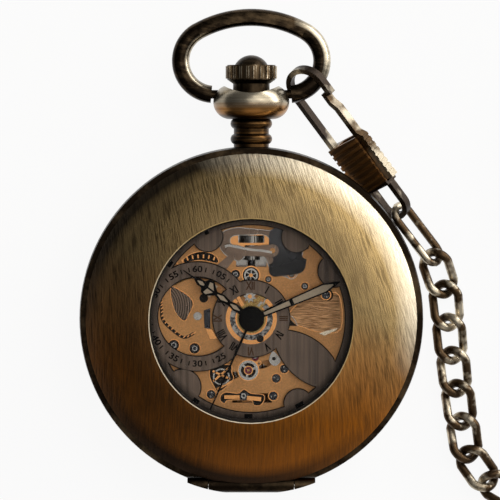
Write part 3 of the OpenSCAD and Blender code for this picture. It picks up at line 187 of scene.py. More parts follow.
class Craft:
    """One material under construction."""

    def __init__(self, name):
        self.material = bpy.data.materials.new(name)
        self.material.use_nodes = True
        self.tree = self.material.node_tree
        self.bsdf = self.tree.nodes["Principled BSDF"]
        self.place = self.node("ShaderNodeTexCoord")["Object"]

    def feed(self, slot, value):
        """Links a tie to a socket, or sets its plain value."""
        if isinstance(value, Tie):
            self.tree.links.new(value.socket, slot)
        elif isinstance(value, tuple) and len(slot.default_value) == 4 and len(value) == 3:
            slot.default_value = (*value, 1.0)
        else:
            slot.default_value = value

    def node(self, kind, settings=None, **sockets):
        """Any node: its settings, then the values or links of its sockets; gives its outputs."""
        made = self.tree.nodes.new(kind)
        for key, value in (settings or {}).items():
            setattr(made, key, value)
        for key, value in sockets.items():
            slot = next(s for s in made.inputs if s.name.replace(" ", "_") == key and s.enabled)
            self.feed(slot, value)
        return {s.name: Tie(self, s) for s in made.outputs if s.enabled}

    def noise(self, scale, vector=None, detail=3.0, rough=0.55):
        """Soft noise about one half."""
        return self.node("ShaderNodeTexNoise", Vector=vector or self.place, Scale=scale,
                         Detail=detail, Roughness=rough)["Fac"]

    def stretch(self, y, turn=0.0):
        """Object coordinates turned about Z and drawn out along Y, for brushing."""
        return self.node("ShaderNodeMapping", Vector=self.place, Rotation=(0.0, 0.0, turn),
                         Scale=(1.0, y, 1.0))["Vector"]

    def strokes(self, x, y, detail=3.0, rough=0.6):
        """Noise over two values of its own, drawn out where one of them changes slowly."""
        place = self.node("ShaderNodeCombineXYZ", X=x, Y=y, Z=0.0)["Vector"]
        return self.noise(1.0, place, detail, rough)

    def axes(self):
        """Object coordinates X and Y in millimetres."""
        parts = self.node("ShaderNodeSeparateXYZ", Vector=self.place)
        return parts["X"] / MM, parts["Y"] / MM

    def mix(self, factor, a, b):
        """Colour between two colours."""
        return self.node("ShaderNodeMix", {"data_type": "RGBA"}, Factor=factor, A=a, B=b)["Result"]

    def scratches(self, scale):
        """Noise drawn out into fine slanting scratches."""
        return self.noise(scale, self.stretch(0.08, 0.8), 3.0, 0.6)

    def finish(self, base, rough, relief=None, **sockets):
        """Feeds the shader, gives the material; relief is height, strength and depth in mm."""
        sockets["Base_Color"] = base
        sockets["Roughness"] = rough.clamp() if isinstance(rough, Tie) else rough
        if relief:
            height, strength, depth = relief
            sockets["Normal"] = self.node("ShaderNodeBump", Height=height, Strength=strength,
                                          Distance=depth * MM)["Normal"]
        for key, value in sockets.items():
            self.feed(self.bsdf.inputs[key.replace("_", " ")], value)
        return self.material


def colour(name, factor=1.0, lift=0.0):
    """A colour setting, made darker or paler."""
    values = getattr(bpy.context.scene.watch_colours, name)
    return tuple(min(v * factor + lift, 1.0) for v in values)


def distance(x, y):
    return (x * x + y * y) ** 0.5


# Finishes; places in millimetres

BOW_END_X, BOW_MID_Y, BOW_END_R = 5.05, 35.2, 4.6
BALL_FOOT_Y, BALL_MID_Y = 27.5, 28.7
CLASP_HOOK_X, CLASP_HOOK_Y = 7.8, 31.5
GRIP_START, GRIP_END = 8.6, 16.6
DIAL_SHADE_R = 12.7


def brushed_lid(name):
    """Upright brushing, olive above, amber below; painted shade on the left, near the window and
    on the upper-left and lower rim; painted highlight at upper right.
    """
    c = Craft(name)
    x, y = c.axes()
    radius = distance(x, y)
    across = x + y * 0.10 + y * (x + y) * 0.004
    fine = c.strokes(across * 4.6, y * 0.24, 4.0, 0.72)
    slant = c.strokes(x * 4.4 + y * 1.5, y * 0.26, 4.0, 0.72)
    broad = c.strokes(across * 1.1, y * 0.03)
    cloud = c.noise(60.0)
    leaning = ((x + y) / 30.0 + 0.2).clamp() * 0.6
    brushing = fine * (1.0 - leaning) + slant * leaning
    gain = (6.6 + leaning * 6.0) * (0.80 + y / 50.0)
    grain = ((brushing * 0.9 + broad * 0.1 - 0.5) * gain + 0.5).clamp()
    down = (0.34 - y / 17.0 - x / 60.0 + (cloud - 0.5) * 0.5).clamp()
    # Painted shade near the window: on its left side, and at the upper right where it dims the
    # lamp's broad highlight.
    near = ((18.2 - radius) / 3.0).clamp() * (0.0 - x / 18.0).clamp() * 0.5
    near = near + ((19.0 - radius) / 2.5).clamp() * ((x + y) / 20.0).clamp() * 0.4
    # Painted shade: umber laid over the left side of the lid, broken up by noise.
    left = ((0.28 - x / 36.0 - y / 80.0 + (cloud - 0.5) * 0.4).clamp() + near).clamp()
    # Painted shade: soot along the upper-left part of the rim and along the lower rim.
    painted_rim_shade = ((radius - 20.2) / 1.5).clamp() * ((y - x * 0.9) / 26.0 - 0.5).clamp()
    painted_foot_shade = ((radius - 19.9) / 1.6).clamp() * (0.0 - y / 14.0 - x / 50.0 - 0.55).clamp()
    # Painted highlight: cream near the outer edge at the upper right, broken up by the brushing.
    wear_and_highlight = ((radius - 19.3) / 2.8).clamp() * ((x * 1.2 + y * 1.15) / 12.0 - 1.24).clamp()
    base = c.mix(down, colour("olive"), colour("amber"))
    base = c.mix(left * 0.74, base, colour("umber"))
    base = c.mix((0.58 - grain * 0.66).clamp(), base, colour("umber"))
    base = c.mix((painted_rim_shade * 1.8 + painted_foot_shade).clamp() * 0.92, base, colour("soot_and_shade"))
    base = c.mix((wear_and_highlight * (0.6 + grain * 0.5)).clamp(), base, colour("cream"))
    return c.finish(base, 0.30 + grain * 0.14, (grain, 0.35, 0.05), Metallic=1.0, Anisotropic=0.4,
                    Coat_Weight=0.15, Coat_Roughness=0.22)


def antique_metal(name, lift, rough, edges):
    """Dark bronze with worn, paler faces and edges."""
    c = Craft(name)
    wear = c.noise(420.0, None, 4.0, 0.65)
    cloud = c.noise(90.0, None, 2.0)
    scratch = c.noise(900.0, c.stretch(0.15, 0.3), 3.0, 0.7)
    worn = (wear - 0.5) * 1.2 + (cloud - 0.5) * 1.1 + 0.40 + lift
    if edges:
        worn = worn + (c.node("ShaderNodeNewGeometry")["Pointiness"] - 0.5) * edges
    worn = worn.clamp()
    base = c.mix(worn, colour("soot_and_shade"), colour("antique"))
    base = c.mix(((worn - 0.80) * 3.5).clamp(), base, colour("cream"))
    rough = rough + (1.0 - worn) * 0.12 + (scratch - 0.5) * 0.15
    return c.finish(base, rough, (scratch * 0.6 + wear * 0.4, 0.15, 0.05), Metallic=1.0)


def bow_metal(name):
    """Blackened wire with painted highlights in cream on the outside at the right and on the
    inside at the left, and a paler brown towards the top.
    """
    c = Craft(name)
    x, y = c.axes()
    wear = c.noise(420.0, None, 4.0, 0.65)
    streak = c.strokes(x * 0.5 + y * 1.7, y * 0.6 - x * 0.4)
    outward = distance(x - BOW_END_X, y - BOW_MID_Y) - BOW_END_R
    inward = BOW_END_R - distance(x + BOW_END_X, y - BOW_MID_Y)
    # Painted highlights: cream on the outside of the bow at the right and on its inside at the
    # left.
    wear_and_highlight = ((outward - 0.2) * 2.2).clamp() * ((x - 5.8) / 2.5).clamp() * ((y - 32.6) / 2.0).clamp()
    wear_and_highlight = wear_and_highlight + ((inward - 0.55) * 4.0).clamp() * (-1.5 - x / 3.4).clamp() * 0.7
    wear_and_highlight = (wear_and_highlight + (streak - 0.62) * 1.6 * wear_and_highlight).clamp()
    crest = ((y - 39.0) / 2.6).clamp()
    brown = ((wear - 0.5) * 0.9 + (streak - 0.5) * 1.1 + 0.04 + crest * 0.25).clamp()
    base = c.mix(brown, colour("soot_and_shade"), colour("antique"))
    base = c.mix(wear_and_highlight, base, colour("cream"))
    return c.finish(base, 0.22 + brown * 0.1, (streak, 0.12, 0.05), Metallic=1.0)


def pendant_metal(name):
    """Brushed brass with a painted highlight on the upper half of the ball, amber below; darker
    below the ball and painted lighter towards the right.
    """
    c = Craft(name)
    x, y = c.axes()
    bands = c.strokes(x * 0.05, y * 4.0)
    wear = c.noise(420.0, None, 4.0, 0.65)
    ball = ((y - BALL_FOOT_Y) / 0.5).clamp()
    # Painted highlight: pale cream over the upper half of the ball.
    upper = ((y - BALL_MID_Y) / 0.9 + (bands - 0.5) * 1.4).clamp()
    # The lit mix goes from soot below the ball to brass on it, with noise, and adds painted light
    # that grows towards the right.
    lit = (ball * 0.72 + (bands - 0.5) * 0.9 + (wear - 0.5) * 0.5 + 0.10 + x * 0.04).clamp()
    brass = c.mix(0.55, colour("amber"), colour("olive"))
    brass = c.mix(upper, brass, colour("cream", 0.62))
    base = c.mix(lit, colour("soot_and_shade"), brass)
    return c.finish(base, 0.34 - lit * 0.08, (bands, 0.12, 0.05), Metallic=1.0)


def rubbed(c, scale, spread):
    """Fine noise, and patches where the patina is rubbed off."""
    blot = c.noise(scale, None, 3.0, 0.6)
    fine = c.noise(1500.0, None, 3.0, 0.6)
    return fine, ((blot - spread) * 7.0 + (fine - 0.5) * 0.6).clamp()


def patched_metal(name, spread, scale, bright):
    """Brown-black bronze, rubbed bare in patches."""
    c = Craft(name)
    fine, wear_and_highlight = rubbed(c, scale, spread)
    dark = c.mix(fine, colour("soot_and_shade"), colour("umber", 2.2))
    base = c.mix(wear_and_highlight, dark, colour("cream", bright))
    return c.finish(base, 0.36 - wear_and_highlight * 0.06, (fine, 0.05, 0.02), Metallic=0.85)


def clasp_metal(name):
    """Patched bronze with a brown, ribbed grip."""
    c = Craft(name)
    x, y = c.axes()
    along = (x - CLASP_HOOK_X) * 0.6 + (CLASP_HOOK_Y - y) * 0.8
    grip = ((along - GRIP_START) * 4.0).clamp() * ((GRIP_END - along) * 4.0).clamp()
    rib = ((along * 6.6).sine() * 1.4 + 0.5).clamp()
    fine, wear_and_highlight = rubbed(c, 210.0, 0.52)
    wear_and_highlight = wear_and_highlight * (1.0 - grip)
    brown = (grip * (rib * 0.3 + 0.22) + fine * 0.06).clamp()
    base = c.mix(brown, colour("soot_and_shade"), c.mix(0.45, colour("amber"), colour("olive")))
    base = c.mix(wear_and_highlight, base, colour("cream", 0.62))
    return c.finish(base, 0.40 - wear_and_highlight * 0.12, (rib * grip + fine * 0.1, 0.3, 0.1), Metallic=0.6)


def dial_plate(name):
    """Slate grey with fine upright brushing and a painted shadow that darkens its edge."""
    c = Craft(name)
    lines = c.noise(1500.0, c.stretch(0.02), 3.0, 0.6)
    cloud = c.noise(130.0, None, 2.0)
    grain = ((lines - 0.5) * 2.4 + 0.5).clamp()
    # Painted shadow: the dial darkens towards soot beyond this radius, where the lid shades it.
    edge = (distance(*c.axes()) - DIAL_SHADE_R).clamp()
    base = c.mix((grain * 0.7 + (cloud - 0.5) * 0.6).clamp(), colour("slate", 0.45),
                 colour("slate", 1.6))
    base = c.mix(edge * 0.9, base, colour("soot_and_shade"))
    return c.finish(base, 0.38 + grain * 0.15, (grain, 0.2, 0.02), Metallic=0.3)


def sandblasted(name):
    """Copper-coloured plate with a fine blasted skin."""
    c = Craft(name)
    pits = c.noise(5200.0, None, 2.0, 0.6)
    cloud = c.noise(160.0)
    base = c.mix((0.5 + (cloud - 0.5) * 1.2 + (pits - 0.5) * 1.4).clamp(), colour("copper", 0.62),
                 colour("copper", 1.15))
    return c.finish(base, 0.40 + (pits - 0.5) * 0.3, (pits, 0.35, 0.02), Metallic=0.55)


def plain_metal(name, key, rough, metal=1.0, fine=1400.0):
    """Even metal with fine scratches."""
    c = Craft(name)
    scratch = c.scratches(fine)
    cloud = c.noise(220.0, None, 2.0)
    base = c.mix((0.55 + (cloud - 0.5) * 1.1 + (scratch - 0.5) * 0.6).clamp(), colour(key, 0.6),
                 colour(key))
    return c.finish(base, rough + (scratch - 0.5) * 0.25, (scratch, 0.1, 0.02), Metallic=metal)


def mottled_silver(name):
    """Pale metal with dark, etched specks."""
    c = Craft(name)
    specks = c.noise(2600.0, None, 3.0, 0.6)
    base = c.mix(((specks - 0.42) * 5.0).clamp(), colour("gunmetal"), colour("steel"))
    return c.finish(base, 0.34, (specks, 0.3, 0.03), Metallic=0.9)


def wavy_copper(name):
    """Copper plate with a wavy grain across it."""
    c = Craft(name)
    sway = c.noise(330.0, None, 2.0)
    x, y = c.axes()
    grain = c.strokes(x * 0.55, y * 7.0 + sway * 7.0)
    lines = ((grain - 0.5) * 3.2 + 0.5).clamp()
    base = c.mix(lines, colour("copper", 0.35), colour("copper", 1.05, 0.10))
    return c.finish(base, 0.5 - lines * 0.15, (lines, 0.4, 0.04), Metallic=0.7)


def window_line(name):
    """Edge of the window in olive, with a painted highlight in cream on the lower left."""
    c = Craft(name)
    x, y = c.axes()
    wear = c.noise(700.0)
    # Painted highlight: cream on the lower-left part of the edge, broken up by noise.
    wear_and_highlight = (0.30 - x / 26.0 - y / 20.0 + (wear - 0.5) * 0.5).clamp()
    base = c.mix(wear_and_highlight, colour("olive"), colour("cream"))
    return c.finish(base, 0.3 + (wear - 0.5) * 0.2, Metallic=1.0)


def smoked_steel(name):
    """Dark polished plate with a painted reflection, paler towards its upper end."""
    c = Craft(name)
    _, y = c.axes()
    cloud = c.noise(220.0, None, 2.0)
    scratch = c.scratches(1400.0)
    # Painted reflection: the plate grows paler towards its upper end.
    pale = ((y - 6.0) / 6.0 + (cloud - 0.5) * 0.6 + (scratch - 0.5) * 0.3).clamp()
    base = c.mix(pale, colour("gunmetal", 0.25), colour("gunmetal", 1.5))
    return c.finish(base, 0.24, Metallic=0.6)


def dark_gap(name):
    """Painted shade, near black, for slots, holes, recesses and edges where shade falls, with a
    little dust.
    """
    c = Craft(name)
    dust = c.noise(1800.0, None, 2.0)
    return c.finish(c.mix(dust, (0.004, 0.003, 0.002), (0.022, 0.013, 0.006)), 0.7)


def black_lacquer(name):
    """Soft black paint."""
    c = Craft(name)
    fleck = c.noise(1600.0, None, 2.0)
    base = c.mix(fleck, colour("ink", 0.4), colour("ink"))
    return c.finish(base, 0.5 + (fleck - 0.5) * 0.2, Specular_IOR_Level=0.12)


def hand_paint(name):
    """Pale, slightly grainy paint."""
    c = Craft(name)
    grain = c.noise(3500.0, None, 2.0)
    base = c.mix(grain, colour("lume", 0.8), colour("lume", 1.15))
    return c.finish(base, 0.55 + (grain - 0.5) * 0.2)


def ruby_ring(name):
    """Polished red stone."""
    c = Craft(name)
    deep = c.noise(900.0, None, 2.0)
    return c.finish(c.mix(deep, colour("ruby", 0.5), colour("ruby")), 0.12)


def clear_glass(name):
    """Thin crystal: clear from above, brighter at a low angle, with faint wiping marks."""
    c = Craft(name)
    wipe = c.noise(240.0, c.stretch(0.3, 0.9))
    sheen = c.node("ShaderNodeFresnel", IOR=1.45)["Fac"]
    c.material.surface_render_method = "BLENDED"
    return c.finish((0.02, 0.02, 0.02), 0.02 + wipe * 0.03, Alpha=(sheen * 0.4).clamp(), IOR=1.5)


OWN_MAKERS = (brushed_lid, bow_metal, pendant_metal, clasp_metal, dial_plate, sandblasted,
              mottled_silver, wavy_copper, window_line, smoked_steel, dark_gap, black_lacquer,
              hand_paint, ruby_ring, clear_glass)
MAKERS = {
    **{maker.__name__: (maker,) for maker in OWN_MAKERS},
    "crown_metal": (antique_metal, -0.26, 0.24, 6.0),
    "rim_metal": (antique_metal, -0.36, 0.3, 0.0),
    "worn_lever": (patched_metal, 0.46, 170.0, 0.62),
    "chain_metal": (patched_metal, 0.49, 300.0, 0.85),
    "bright_copper": (plain_metal, "copper", 0.20),
    "bare_edge": (plain_metal, "cream", 0.22),
    "bright_steel": (plain_metal, "steel", 0.24),
    "dark_steel": (plain_metal, "gunmetal", 0.22),
    "grey_steel": (plain_metal, "slate", 0.3, 0.8),
    "gear_brass": (plain_metal, "brass", 0.26),
    "rust_ink": (plain_metal, "rust", 0.45, 0.2, 800.0),
}
FINISHES = {}


def finish_of(name):
    """The finish of that name, made once."""
    if name not in FINISHES:
        maker, *values = MAKERS[name]
        FINISHES[name] = maker(name, *values)
    return FINISHES[name]


# Meshes; outlines in millimetres, heights in metres

WELD = 0.002 * MM
SHARP_EDGE = 38.0
CAP_TO_SIZE = 1.38
FACING_DOWN = -0.9


def piece(name, mesh, body, finish, stands_for=()):
    """Puts a finished mesh into the scene, on its body."""
    obj = bpy.data.objects.new(name, mesh)
    bpy.context.scene.collection.objects.link(obj)
    mesh.materials.clear()
    mesh.materials.append(finish_of(finish))
    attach(obj, body)
    if stands_for:
        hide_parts(*stands_for)
    return obj


def merged(mesh):
    """A bmesh of the mesh with its loose triangles joined."""
    bm = bmesh.new()
    bm.from_mesh(mesh)
    bmesh.ops.remove_doubles(bm, verts=bm.verts, dist=WELD)
    return bm


def merged_copy(node, sharp):
    """The node's mesh with its loose triangles joined and its round faces smooth."""
    mesh = frame["nodes"][node].data.copy()
    bm = merged(mesh)
    for face in bm.faces:
        face.smooth = True
    limit = math.radians(sharp)
    for edge in bm.edges:
        edge.smooth = len(edge.link_faces) == 2 and edge.calc_face_angle(0.0) < limit
    bm.to_mesh(mesh)
    bm.free()
    return mesh


def dress(node, finish, sharp=SHARP_EDGE):
    """A smooth copy of a CAD node in its finish."""
    return piece(node + "_look", merged_copy(node, sharp), BODY_OF[node], finish, (node,))


def repaint(obj, finish, chosen):
    """Gives the chosen faces a finish of their own."""
    obj.data.materials.append(finish_of(finish))
    for face in obj.data.polygons:
        if chosen(face.center):
            face.material_index = len(obj.data.materials) - 1


def prism(outline, z, height):
    """Flat polygon, drawn up from z."""
    bm = bmesh.new()
    low, high = ([bm.verts.new((x * MM, y * MM, level)) for x, y in outline]
                 for level in (z, z + height))
    bm.faces.new(low)
    bm.faces.new(high)
    for i in range(len(outline)):
        bm.faces.new((low[i - 1], low[i], high[i], high[i - 1]))
    bmesh.ops.recalc_face_normals(bm, faces=bm.faces)
    return bm


def polar(x, y, r, angle):
    """Point at an angle from +X round a centre."""
    return x + r * math.cos(angle), y + r * math.sin(angle)


def inside(point, outline):
    """Whether a point lies within a closed outline."""
    x, y = point
    hit = False
    for (ax, ay), (bx, by) in zip(outline, outline[1:] + outline[:1]):
        if (ay > y) != (by > y) and x < ax + (y - ay) / (by - ay) * (bx - ax):
            hit = not hit
    return hit


def softened(points, steps=4, closed=True):
    """Corner points of a shape joined by a smooth curve."""
    count = len(points)
    out = []
    for i in range(count if closed else count - 1):
        places = (i - 1, i, i + 1, i + 2)
        quad = [points[k % count if closed else min(max(k, 0), count - 1)] for k in places]
        for k in range(steps):
            t = k / steps
            weights = (-t / 2 + t * t - t ** 3 / 2, 1 - 2.5 * t * t + 1.5 * t ** 3,
                       t / 2 + 2 * t * t - 1.5 * t ** 3, -t * t / 2 + t ** 3 / 2)
            out.append(tuple(sum(w * q[axis] for w, q in zip(weights, quad)) for axis in (0, 1)))
    return out if closed else out + [points[-1]]


def ribbon(points, width, z, height, closed=True):
    """Flat strip of even width along a path."""
    count = len(points)
    sides = []
    for i, (x, y) in enumerate(points):
        before = points[i - 1] if closed or i else points[i]
        after = points[(i + 1) % count] if closed or i < count - 1 else points[i]
        dx, dy = after[0] - before[0], after[1] - before[1]
        size = math.hypot(dx, dy) or 1.0
        nx, ny = -dy / size * width / 2, dx / size * width / 2
        sides.append([(x + nx, y + ny), (x - nx, y - ny)])
    bm = bmesh.new()
    levels = (z, z + height)
    rows = [[bm.verts.new((px * MM, py * MM, level)) for level in levels for px, py in pair]
            for pair in sides]
    for i in range(count if closed else count - 1):
        a, b = rows[i], rows[(i + 1) % count]
        for j, k in ((0, 1), (1, 3), (3, 2), (2, 0)):
            bm.faces.new((a[j], a[k], b[k], b[j]))
    if not closed:
        for row in (rows[0], rows[-1]):
            bm.faces.new((row[0], row[1], row[3], row[2]))
    bmesh.ops.recalc_face_normals(bm, faces=bm.faces)
    return bm


def arc(x, y, outer, inner, start, end, z, height):
    """Flat ring, or part of one, between two angles from +X."""
    full = end - start >= 360.0
    steps = max(8, int((end - start) / 6))
    angles = [math.radians(start + (end - start) * k / steps)
              for k in range(steps if full else steps + 1)]
    path = [polar(x, y, (outer + inner) / 2, angle) for angle in angles]
    return ribbon(path, outer - inner, z, height, full)


def hoop(x, y, outer, inner, z, height):
    return arc(x, y, outer, inner, 0.0, 360.0, z, height)


def round_points(x, y, r, sides=40):
    return [polar(x, y, r, k * math.tau / sides) for k in range(sides)]


def disc(x, y, r, z, height):
    return prism(round_points(x, y, r), z, height)


def strip(points, width, z, height):
    return ribbon(points, width, z, height, False)


def bar(start, end, width, z, height):
    return strip([start, end], width, z, height)


def block(centre, width, height, turn, z, thick):
    """Rectangle about a point, turned in radians."""
    x, y = width / 2, height / 2
    bm = prism([(-x, -y), (x, -y), (x, y), (-x, y)], z, thick)
    bm.transform(Matrix.Translation((centre[0] * MM, centre[1] * MM, 0.0))
                 @ Matrix.Rotation(turn, 4, "Z"))
    return bm


def toothed(x, y, tip, root, teeth, z, height):
    """Wheel with pointed teeth."""
    quarter = math.tau / (teeth * 4)
    return prism([polar(x, y, tip if k % 4 in (1, 2) else root, (k + 0.5) * quarter)
                  for k in range(teeth * 4)], z, height)


def heap(name, parts, body, finish):
    """One piece from several bmeshes."""
    whole = bpy.data.meshes.new(name)
    gathered = bmesh.new()
    for part in parts:
        spare = bpy.data.meshes.new("spare")
        part.to_mesh(spare)
        part.free()
        gathered.from_mesh(spare)
        bpy.data.meshes.remove(spare)
    gathered.to_mesh(whole)
    gathered.free()
    return piece(name, whole, body, finish)


def evaluated_mesh(holder):
    """The mesh that an object in the scene shows."""
    deps = bpy.context.evaluated_depsgraph_get()
    return bpy.data.meshes.new_from_object(holder.evaluated_get(deps))


def lettering(words, height, centre, turn, z, thick, stretch, bold=0.03):
    """Printed words as a bmesh, upright at nought turn, centred on a point."""
    curve = bpy.data.curves.new("lettering", "FONT")
    curve.body = words
    curve.align_x = "CENTER"
    curve.align_y = "CENTER"
    curve.size = height * CAP_TO_SIZE
    curve.extrude = thick / 2
    curve.offset = bold * MM
    curve.resolution_u = 4
    holder = bpy.data.objects.new("lettering", curve)
    bpy.context.scene.collection.objects.link(holder)
    mesh = evaluated_mesh(holder)
    bm = bmesh.new()
    bm.from_mesh(mesh)
    lift = Matrix.Translation((centre[0] * MM, centre[1] * MM, z + thick / 2))
    bm.transform(lift @ Matrix.Rotation(turn, 4, "Z") @ Matrix.Diagonal((stretch, 1.0, 1.0, 1.0)))
    bpy.data.objects.remove(holder)
    bpy.data.curves.remove(curve)
    bpy.data.meshes.remove(mesh)
    return bm


def outlines(node):
    """Closed outlines of a flat node's underside."""
    bm = merged(frame["nodes"][node].data)
    bm.normal_update()
    under = {f for f in bm.faces if f.normal.z < FACING_DOWN}
    rest = dict.fromkeys(e for e in bm.edges if sum(f in under for f in e.link_faces) == 1)
    loops = []
    while rest:
        path = list(rest.popitem()[0].verts)
        while True:
            step = next((e for e in path[-1].link_edges if e in rest), None)
            if step is None:
                break
            del rest[step]
            path.append(step.other_vert(path[-1]))
        loops.append([(v.co.x / MM, v.co.y / MM) for v in path[:-1]])
    bm.free()
    return loops


def heights(node):
    """Lowest and highest Z of a node."""
    low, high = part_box(node)
    return low[2], high[2]


# Geometry Nodes

LINK_STEPS, WIRE_SIDES = 40, 14


def link_tree():
    """Node tree that makes a twisted oval of wire on every point, turned to its heading."""
    tree = bpy.data.node_groups.new("Curb links", "GeometryNodeTree")
    sockets = [("Geometry", "INPUT", "Geometry")]
    sockets += [(label, "INPUT", "Float") for label in ("Wire", "Length", "Width", "Twist")]
    sockets += [("Finish", "INPUT", "Material"), ("Geometry", "OUTPUT", "Geometry")]
    for label, side, kind in sockets:
        tree.interface.new_socket(label, in_out=side, socket_type="NodeSocket" + kind)

    def set_input(slot, value):
        if hasattr(value, "is_output"):
            tree.links.new(value, slot)
        else:
            slot.default_value = value

    def add(kind, **values):
        """A node with the values or links of its sockets; gives its outputs."""
        node = tree.nodes.new(kind)
        for key, value in values.items():
            set_input(node.inputs[key.replace("_", " ")], value)
        return node.outputs

    def maths(operation, *values):
        node = tree.nodes.new("ShaderNodeMath")
        node.operation = operation
        for slot, value in zip(node.inputs, values):
            set_input(slot, value)
        return node.outputs[0]

    def product(a, b):
        return maths("MULTIPLY", a, b)

    gate = add("NodeGroupInput")
    circle = add("GeometryNodeCurvePrimitiveCircle", Resolution=LINK_STEPS, Radius=1.0)
    split = add("ShaderNodeSeparateXYZ", Vector=add("GeometryNodeInputPosition")[0])
    radius = product(gate["Width"], 0.5)
    straight = product(maths("SUBTRACT", gate["Length"], gate["Width"]), 0.5)
    end = product(maths("SIGN", split["X"]), straight)
    along = maths("ADD", product(split["X"], radius), end)
    across = product(split["Y"], radius)
    part = maths("DIVIDE", along, product(gate["Length"], 0.5))
    turn = product(part, product(gate["Twist"], -1.0))
    place = add("ShaderNodeCombineXYZ", X=along, Y=product(across, maths("COSINE", turn)),
                Z=product(across, maths("SINE", turn)))
    shape = add("GeometryNodeSetPosition", Geometry=circle["Curve"], Position=place[0])
    section = add("GeometryNodeCurvePrimitiveCircle", Resolution=WIRE_SIDES,
                  Radius=product(gate["Wire"], 0.5))
    tube = add("GeometryNodeCurveToMesh", Curve=shape["Geometry"], Profile_Curve=section["Curve"])
    points = add("GeometryNodeMeshToPoints", Mesh=gate["Geometry"])
    heading = add("GeometryNodeInputNamedAttribute", Name="heading")
    facing = add("ShaderNodeCombineXYZ", Z=heading["Attribute"])
    spread = add("GeometryNodeInstanceOnPoints", Points=points["Points"], Instance=tube["Mesh"],
                 Rotation=add("FunctionNodeEulerToRotation", Euler=facing[0])[0])
    real = add("GeometryNodeRealizeInstances", Geometry=spread["Instances"])
    soft = add("GeometryNodeSetShadeSmooth", Geometry=real["Geometry"])
    paint = add("GeometryNodeSetMaterial", Geometry=soft["Geometry"], Material=gate["Finish"])
    add("NodeGroupOutput", Geometry=paint["Geometry"])
    return tree


def link_spots(node):
    """A point at the middle of every link of a CAD node, with the heading of its long axis."""
    bm = merged(frame["nodes"][node].data)
    waiting = dict.fromkeys(bm.verts)
    spots, headings = [], []
    while waiting:
        island, fresh = [], [waiting.popitem()[0]]
        while fresh:
            vert = fresh.pop()
            island.append(vert.co.copy())
            for near in [edge.other_vert(vert) for edge in vert.link_edges]:
                if near in waiting:
                    del waiting[near]
                    fresh.append(near)
        middle = sum(island, Vector()) / len(island)
        offsets = [p - middle for p in island]
        xx = sum(p.x ** 2 for p in offsets)
        yy = sum(p.y ** 2 for p in offsets)
        xy = sum(p.x * p.y for p in offsets)
        spots.append(middle)
        headings.append(0.5 * math.atan2(2 * xy, xx - yy))
    bm.free()
    mesh = bpy.data.meshes.new(node + "_spots")
    mesh.from_pydata(spots, [], [])
    mesh.attributes.new("heading", "FLOAT", "POINT").data.foreach_set("value", headings)
    return mesh


def grown(tree, base, values, name):
    """The mesh that a node tree makes from a base mesh, with the modifier gone."""
    holder = bpy.data.objects.new(name, base)
    bpy.context.scene.collection.objects.link(holder)
    modifier = holder.modifiers.new("grow", "NODES")
    modifier.node_group = tree
    for item in tree.interface.items_tree:
        if item.in_out == "INPUT" and item.name in values:
            modifier[item.identifier] = values[item.name]
    mesh = evaluated_mesh(holder)
    holder.modifiers.remove(modifier)
    bpy.data.objects.remove(holder)
    bpy.data.meshes.remove(base)
    return mesh


# Operators

CASE_FINISHES = {
    "brushed_lid": ("front_lid", "case_back", "inner_bezel"),
    "rim_metal": ("case_middle",),
    "pendant_metal": ("pendant",),
    "bow_metal": ("bow",),
    "crown_metal": ("crown",),
    "bright_steel": ("hinge_pin", "lid_lift_spring", "lid_lock_spring"),
    "gear_brass": ("movement_ring",),
    "clear_glass": ("lid_crystal", "dial_crystal"),
}
MOVEMENT_FINISHES = {
    "sandblasted": ("mainplate", "pallet_bridge", "balance_cock", "train_bridge", "barrel_bridge"),
    "gear_brass": ("barrel", "centre_wheel", "third_wheel", "fourth_wheel", "balance_wheel",
                   "minute_wheel", "hour_wheel"),
    "bright_steel": ("mainspring", "barrel_arbor", "ratchet_wheel", "crown_wheel", "click",
                     "click_spring", "escape_wheel", "pallet_fork", "hairspring", "cannon_pinion",
                     "winding_pinion", "sliding_pinion"),
    "grey_steel": ("setting_lever", "yoke"),
    "dark_steel": ("screws", "winding_stem"),
    "smoked_steel": ("keyless_cover",),
    "ruby_ring": ("jewels",),
}
WINDOW_WALL_R = 13.95 * MM
HINGE_Y, HINGE_TOP = -21.9 * MM, 9.9 * MM
SECONDS_HUB_Z = 8.0 * MM
WINDOW_EDGE = (0.0, 0.0, 13.94, 13.78, 13.36 * MM, 0.1 * MM)
RIB_W, RIB_H = 0.34, 0.04 * MM
LEVER_RIB = [(-3.6, 9.85), (-3.0, 10.0), (-1.8, 9.75), (-0.2, 9.45), (1.4, 9.3), (2.8, 9.05)]


def dress_all(finishes):
    for finish, nodes in finishes.items():
        for node in nodes:
            dress(node, finish)


class WATCH_OT_case(bpy.types.Operator):
    """Brushed lid, case, pendant, bow and crown"""
    bl_idname = "watch.case"
    bl_label = "Case and lid"

    def execute(self, context):
        dress_all(CASE_FINISHES)
        lid = bpy.data.objects["front_lid_look"]
        # Painted shade: the window's inner wall and ledge go near black.
        repaint(lid, "dark_gap", lambda at: math.hypot(at.x, at.y) < WINDOW_WALL_R)
        repaint(lid, "rim_metal", lambda at: at.y < HINGE_Y and at.z < HINGE_TOP)
        # A thin ring round the window, with a painted highlight on its lower left.
        heap("window_edge", [hoop(*WINDOW_EDGE)], BODY_OF["front_lid"], "window_line")
        return {"FINISHED"}


